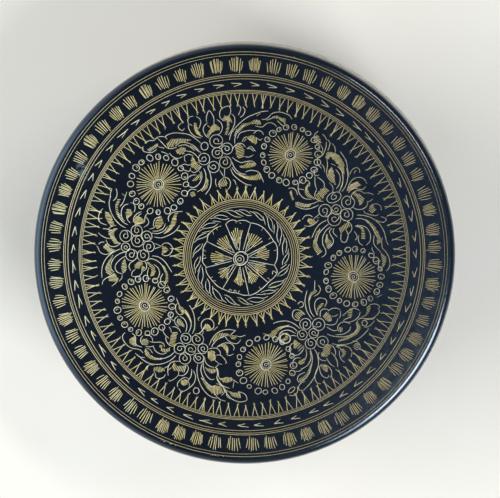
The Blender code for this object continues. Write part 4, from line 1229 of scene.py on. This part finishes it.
pen = Pen(0.0, 90.0)
ends = [(-5.8, 10.4), (2.2, 10.6), (9.6, 4.9), (9.8, -2.8), (7.8, -8.4), (1.7, -12.6), (-6.8, -10.4),
        (-12.2, -3.6), (-11.8, 4.8)]
scallops = [(-5.8, 10.3, -4.8, 11.3, -3.4, 11.7, -1.8, 11.2), (-1.8, 11.5, 0.4, 11.6, 2.2, 10.7)]
scallops += [(2.2, 10.8, 4.4, 10.3, 6.4, 9.1, 8.2, 7.1, 9.6, 4.9),
             (9.6, 5.0, 10.6, 3.4, 10.8, 1.0, 10.6, -1.0, 9.8, -2.8)]
scallops += [(9.8, -2.8, 10.7, -4.6, 10.2, -6.2, 7.8, -8.4), (8.0, -8.3, 6.0, -10.2, 3.8, -11.8, 1.7, -12.6)]
scallops += [(1.7, -12.4, 0.0, -12.5, -2.2, -11.8, -4.6, -11.4, -6.8, -10.4),
             (-6.6, -10.6, -8.6, -9.4, -10.6, -7.2, -11.9, -5.2, -12.2, -3.6)]
scallops += [(-12.0, -3.4, -13.2, -1.8, -13.1, 0.6, -12.9, 3.0, -11.8, 4.8),
             (-11.8, 4.8, -11.5, 6.6, -10.2, 8.2, -8.6, 9.3, -7.2, 9.8)]
for run in scallops:
    pen.line(*run, width=1.05)
hub = (-1.0, -0.7)
for u, v in ends:
    reach = math.dist((u, v), hub)
    near = 2.6 + rng.uniform(-0.2, 0.6)
    start = (hub[0] + (u - hub[0]) * near / reach, hub[1] + (v - hub[1]) * near / reach)
    pen.line(*start, u, v)
ticks = [(-2.7, 11.5, -2.4, 10.7), (-1.3, 10.9, -0.9, 10.5), (6.0, 9.0, 5.7, 8.3), (8.9, 6.2, 8.0, 5.6),
         (10.6, 2.2, 9.6, 1.8)]
ticks += [(-4.8, -11.3, -4.5, -10.6, -3.8, -11.0), (-3.2, -11.4, -2.9, -10.8, -2.3, -11.3),
          (-1.8, -11.6, -1.3, -11.0)]
ticks += [(-10.9, -6.9, -9.9, -6.6), (-10.0, -7.9, -8.9, -7.8), (-13.0, 2.2, -12.2, 1.6),
          (-13.1, 0.6, -12.2, 0.2), (-13.2, -0.8, -12.0, -0.4)]
ticks += [(-10.0, 8.1, -9.6, 7.0), (-8.8, 9.1, -8.4, 8.4), (10.6, -5.4, 9.4, -4.6, 9.2, -5.8),
          (8.6, -7.6, 7.6, -6.8), (5.4, -10.6, 5.0, -9.8)]
for run in ticks:
    pen.line(*run)
petals = [(100, 2.1, 9.8), (55, 2.5, 9.4), (12, 2.1, 9.6), (-27, 2.0, 9.0), (-58, 1.8, 8.9),
          (-94, 1.6, 8.6), (-138, 2.0, 8.6), (178, 2.0, 9.6), (137, 2.2, 9.4)]
for degrees, half, far in petals:
    turn = math.radians(degrees)
    across, along = (math.sin(turn), -math.cos(turn)), (math.cos(turn), math.sin(turn))
    lines = 7
    for i in range(lines):
        t = i / (lines - 1) * 2 - 1
        near = 4.5 + 1.5 * abs(t) + rng.uniform(-0.6, 0.6)
        tip = far - 1.1 * t * t + rng.uniform(-0.4, 0.4)
        run = []
        for reach, off in ((near, half * 0.5 * t), (tip, half * t)):
            run.append((hub[0] + along[0] * reach + across[0] * off,
                        hub[1] + along[1] * reach + across[1] * off))
        pen.put(run, [0.8, 1.25])
    for t in (-0.45, 0.4):
        run = []
        for reach, off in ((2.7, 0.1 * t), (5.4, half * t * 0.9), (7.0, half * t)):
            run += [hub[0] + along[0] * reach + across[0] * off, hub[1] + along[1] * reach + across[1] * off]
        pen.line(*run, width=0.85)
pen.loop(-0.95, -0.65, 2.25, width=0.9)
pen.loop(-0.9, -0.6, 1.95, sweep=0.8, start=40, width=0.7)
pen.snail(-1.3, -0.95, 1.4)
baked(curve_object("middle_flower", pen.strokes), DRAWN, {}, "lid")

# ---------------------------------------------------------------------------------------------
# Wear at the lid's edge: small chips through the black coat, and a pale rub by the fans.
pen = Pen(0.0, 90.0)
for degrees, size, many in ((-98, 1.0, 5), (-112, 1.2, 6), (-46, 0.7, 2), (75, 0.7, 2), (66, 0.6, 1)):
    for i in range(many):
        turn = math.radians(degrees + rng.uniform(-2.2, 2.2) * size)
        r, long = 65.75 + rng.uniform(-0.15, 0.15), size * rng.uniform(0.2, 0.55)
        at = (r * math.cos(turn), r * math.sin(turn))
        run = [at, (at[0] - long * math.sin(turn), at[1] + long * math.cos(turn))]
        pen.put(run, [rng.uniform(0.5, 1.1), rng.uniform(0.4, 0.9)])
baked(curve_object("rim_chips", pen.strokes), DRAWN, {}, "lid")

# ---------------------------------------------------------------------------------------------
# The bowl's side: two pairs of turned lines with a row of fans between them, cut like the lid.
# Drawn flat, as a strip that runs round the bowl, then wrapped onto the side.
SIDE = [("Belly", "Float", BELLY * MM), ("Belly Height", "Float", BELLY_Z * MM)]
SIDE += [("Belly Fall", "Float", (BELLY - SHOULDER) / (corner[1] - BELLY_Z) ** 2 / MM)]


def strip_tree():
    sizes = [("Marks", "Collection", None), ("Count", "Int", 12), ("Height", "Float", 0.06)]
    sizes += [("Seed", "Int", 1)]
    tree, given = new_tree("marks_round_the_side", sizes + SWEEP + SIDE)
    count, belly = given.out("Count"), given.out("Belly")
    x = Wire.node(tree, "GeometryNodeInputIndex") / count * math.tau * belly
    place = Wire.node(tree, "ShaderNodeCombineXYZ", inputs={0: x, 1: given.out("Height")})
    points = Wire.node(tree, "GeometryNodePoints", inputs={"Count": count, "Position": place})
    inputs = {"Collection": given.out("Marks"), "Separate Children": True, "Reset Children": True}
    marks = Wire.node(tree, "GeometryNodeCollectionInfo", inputs=inputs)
    inputs = {4: 0, 5: 999, "Seed": given.out("Seed")}
    pick = Wire.node(tree, "FunctionNodeRandomValue", {"data_type": "INT"}, inputs, 2)
    inputs = {"Points": points, "Instance": marks, "Pick Instance": True, "Instance Index": pick}
    placed = Wire.node(tree, "GeometryNodeInstanceOnPoints", inputs=inputs)
    placed = Wire.node(tree, "GeometryNodeRealizeInstances", inputs={0: placed})
    drawn = swept(tree, placed, given)
    x, y, z, radius = apart(Wire.node(tree, "GeometryNodeInputPosition"))
    above = y - given.out("Belly Height")
    out = belly - given.out("Belly Fall") * above * above + z
    turn = x / belly
    inputs = {0: out * turn.math("COSINE", turn), 1: out * turn.math("SINE", turn), 2: y}
    place = Wire.node(tree, "ShaderNodeCombineXYZ", inputs=inputs)
    inputs = {"Geometry": drawn, "Position": place}
    end_tree(tree, Wire.node(tree, "GeometryNodeSetPosition", inputs=inputs), given.out("Gold"))
    return tree


def along_side(name, variants, values):
    marks = bpy.data.collections.new(name + "_marks")
    for number, strokes in enumerate(variants):
        marks.objects.link(curve_object(f"{name}_mark_{number:02d}", strokes))
    host = bpy.data.objects.new(name, bpy.data.meshes.new(name + "_host"))
    baked(host, STRIP, {"Marks": marks, **values}, "bowl")
    for old in list(marks.objects):
        bpy.data.objects.remove(old)
    bpy.data.collections.remove(marks)


STRIP = strip_tree()
step = math.tau * BELLY / 72
length = [(-step / 2, 0.0), (0.0, 0.02), (step / 2, 0.0)]
for name, height in (("upper", 68.6), ("upper_inner", 67.7), ("lower", 60.4), ("lower_inner", 61.3)):
    variants = [[(length, rng.uniform(0.85, 1.05), False)] for i in range(3)]
    along_side(f"side_line_{name}", variants, {"Count": 72, "Height": height * MM})
fans = [fan_mark() for i in range(10)]
along_side("side_fans", fans, {"Count": 68, "Height": 64.5 * MM, "Seed": 12})

# ---------------------------------------------------------------------------------------------
# The floor and the light: a plain pale floor, a tall window on the right and a softer one on
# the left, and an even, slightly blue room light.


def pale_floor():
    material, tree, shader, place = new_material("pale_floor")
    soft = noise(tree, place, 0.02, 3.0)
    feed(
        shader,
        Base_Color=mix(span(soft, 0.3, 0.7), (0.96, 0.82, 0.67, 1), (0.98, 0.85, 0.71, 1)),
        Roughness=span(soft, 0.3, 0.7, 0.5, 0.6),
    )
    return material


bpy.ops.mesh.primitive_plane_add(size=1.6, location=(0, 0, 0))
floor = bpy.context.object
floor.name = "floor"
floor.data.materials.append(pale_floor())


def window(name, azimuth, elevation, distance, size, power, colour, sheen=False):
    """A soft rectangular light that faces the lid."""
    lamp = bpy.data.lights.new(name, "AREA")
    lamp.shape, lamp.size, lamp.size_y = "RECTANGLE", size[0], size[1]
    lamp.energy, lamp.color = power, colour
    a, e = math.radians(azimuth), math.radians(elevation)
    aim = Vector((0, 0, 0.08))
    away = Vector((math.cos(e) * math.cos(a), math.cos(e) * math.sin(a), math.sin(e)))
    made = bpy.data.objects.new(name, lamp)
    made.location = aim + away * distance
    made.rotation_euler = (-away).to_track_quat("-Z", "Y").to_euler()
    made.visible_diffuse, made.visible_glossy = not sheen, sheen or name.startswith("window_right")
    bpy.context.collection.objects.link(made)
    return made


def room_light():
    """A room that is dim overhead and on the right, and bright towards the left."""
    world = bpy.data.worlds.new("room")
    world.use_nodes = True
    tree = world.node_tree
    away = Wire.node(tree, "ShaderNodeTexCoord", output="Generated")
    x = Wire.node(tree, "ShaderNodeSeparateXYZ", inputs={0: away})
    height = x.out("Z")
    side = span(x, 0.3, -0.9, 0.08, 1.5)
    low = span(height, 0.80, 0.45, 0.0, 1.0)
    background = tree.nodes["Background"]
    background.inputs["Color"].default_value = (0.58, 0.78, 1.0, 1)
    tree.links.new((side * low + 0.10).socket, background.inputs["Strength"])
    return world


window("window_right_far", 38, 62, 1.5, (0.5, 0.12), 4.0, (0.92, 0.96, 1.0))
window("window_right_near", -42, 54, 1.4, (0.5, 0.4), 12.0, (0.78, 0.89, 1.0))
window("window_left", 180, 42, 2.0, (2.0, 1.5), 30, (0.88, 0.95, 1.0))
window("sheen_left", 180, 38, 2.0, (2.0, 1.9), 26, (0.45, 0.68, 1.0), sheen=True)
window("sheen_right_near", -47, 42, 1.4, (0.8, 0.6), 12.0, (0.55, 0.75, 1.0), sheen=True)
bpy.context.scene.world = room_light()
bpy.context.scene.view_settings.view_transform = "Standard"

# ---------------------------------------------------------------------------------------------
# The camera: held above the lid, a little towards the far side and the right.
eye = Vector((14.7, 45.0, 685.6)) * MM
aim = Vector((2.0, 2.4, 85.6)) * MM
back = (eye - aim).normalized()
right = Vector((0, 1, 0)).cross(back).normalized()
up = back.cross(right)
camera = bpy.data.objects.new("camera", bpy.data.cameras.new("camera"))
camera.data.lens, camera.data.sensor_width = 135.2, 36.0
turn = Matrix((right, up, back)).transposed().to_4x4()
camera.matrix_world = Matrix.Translation(eye) @ turn
bpy.context.collection.objects.link(camera)
bpy.context.scene.camera = camera
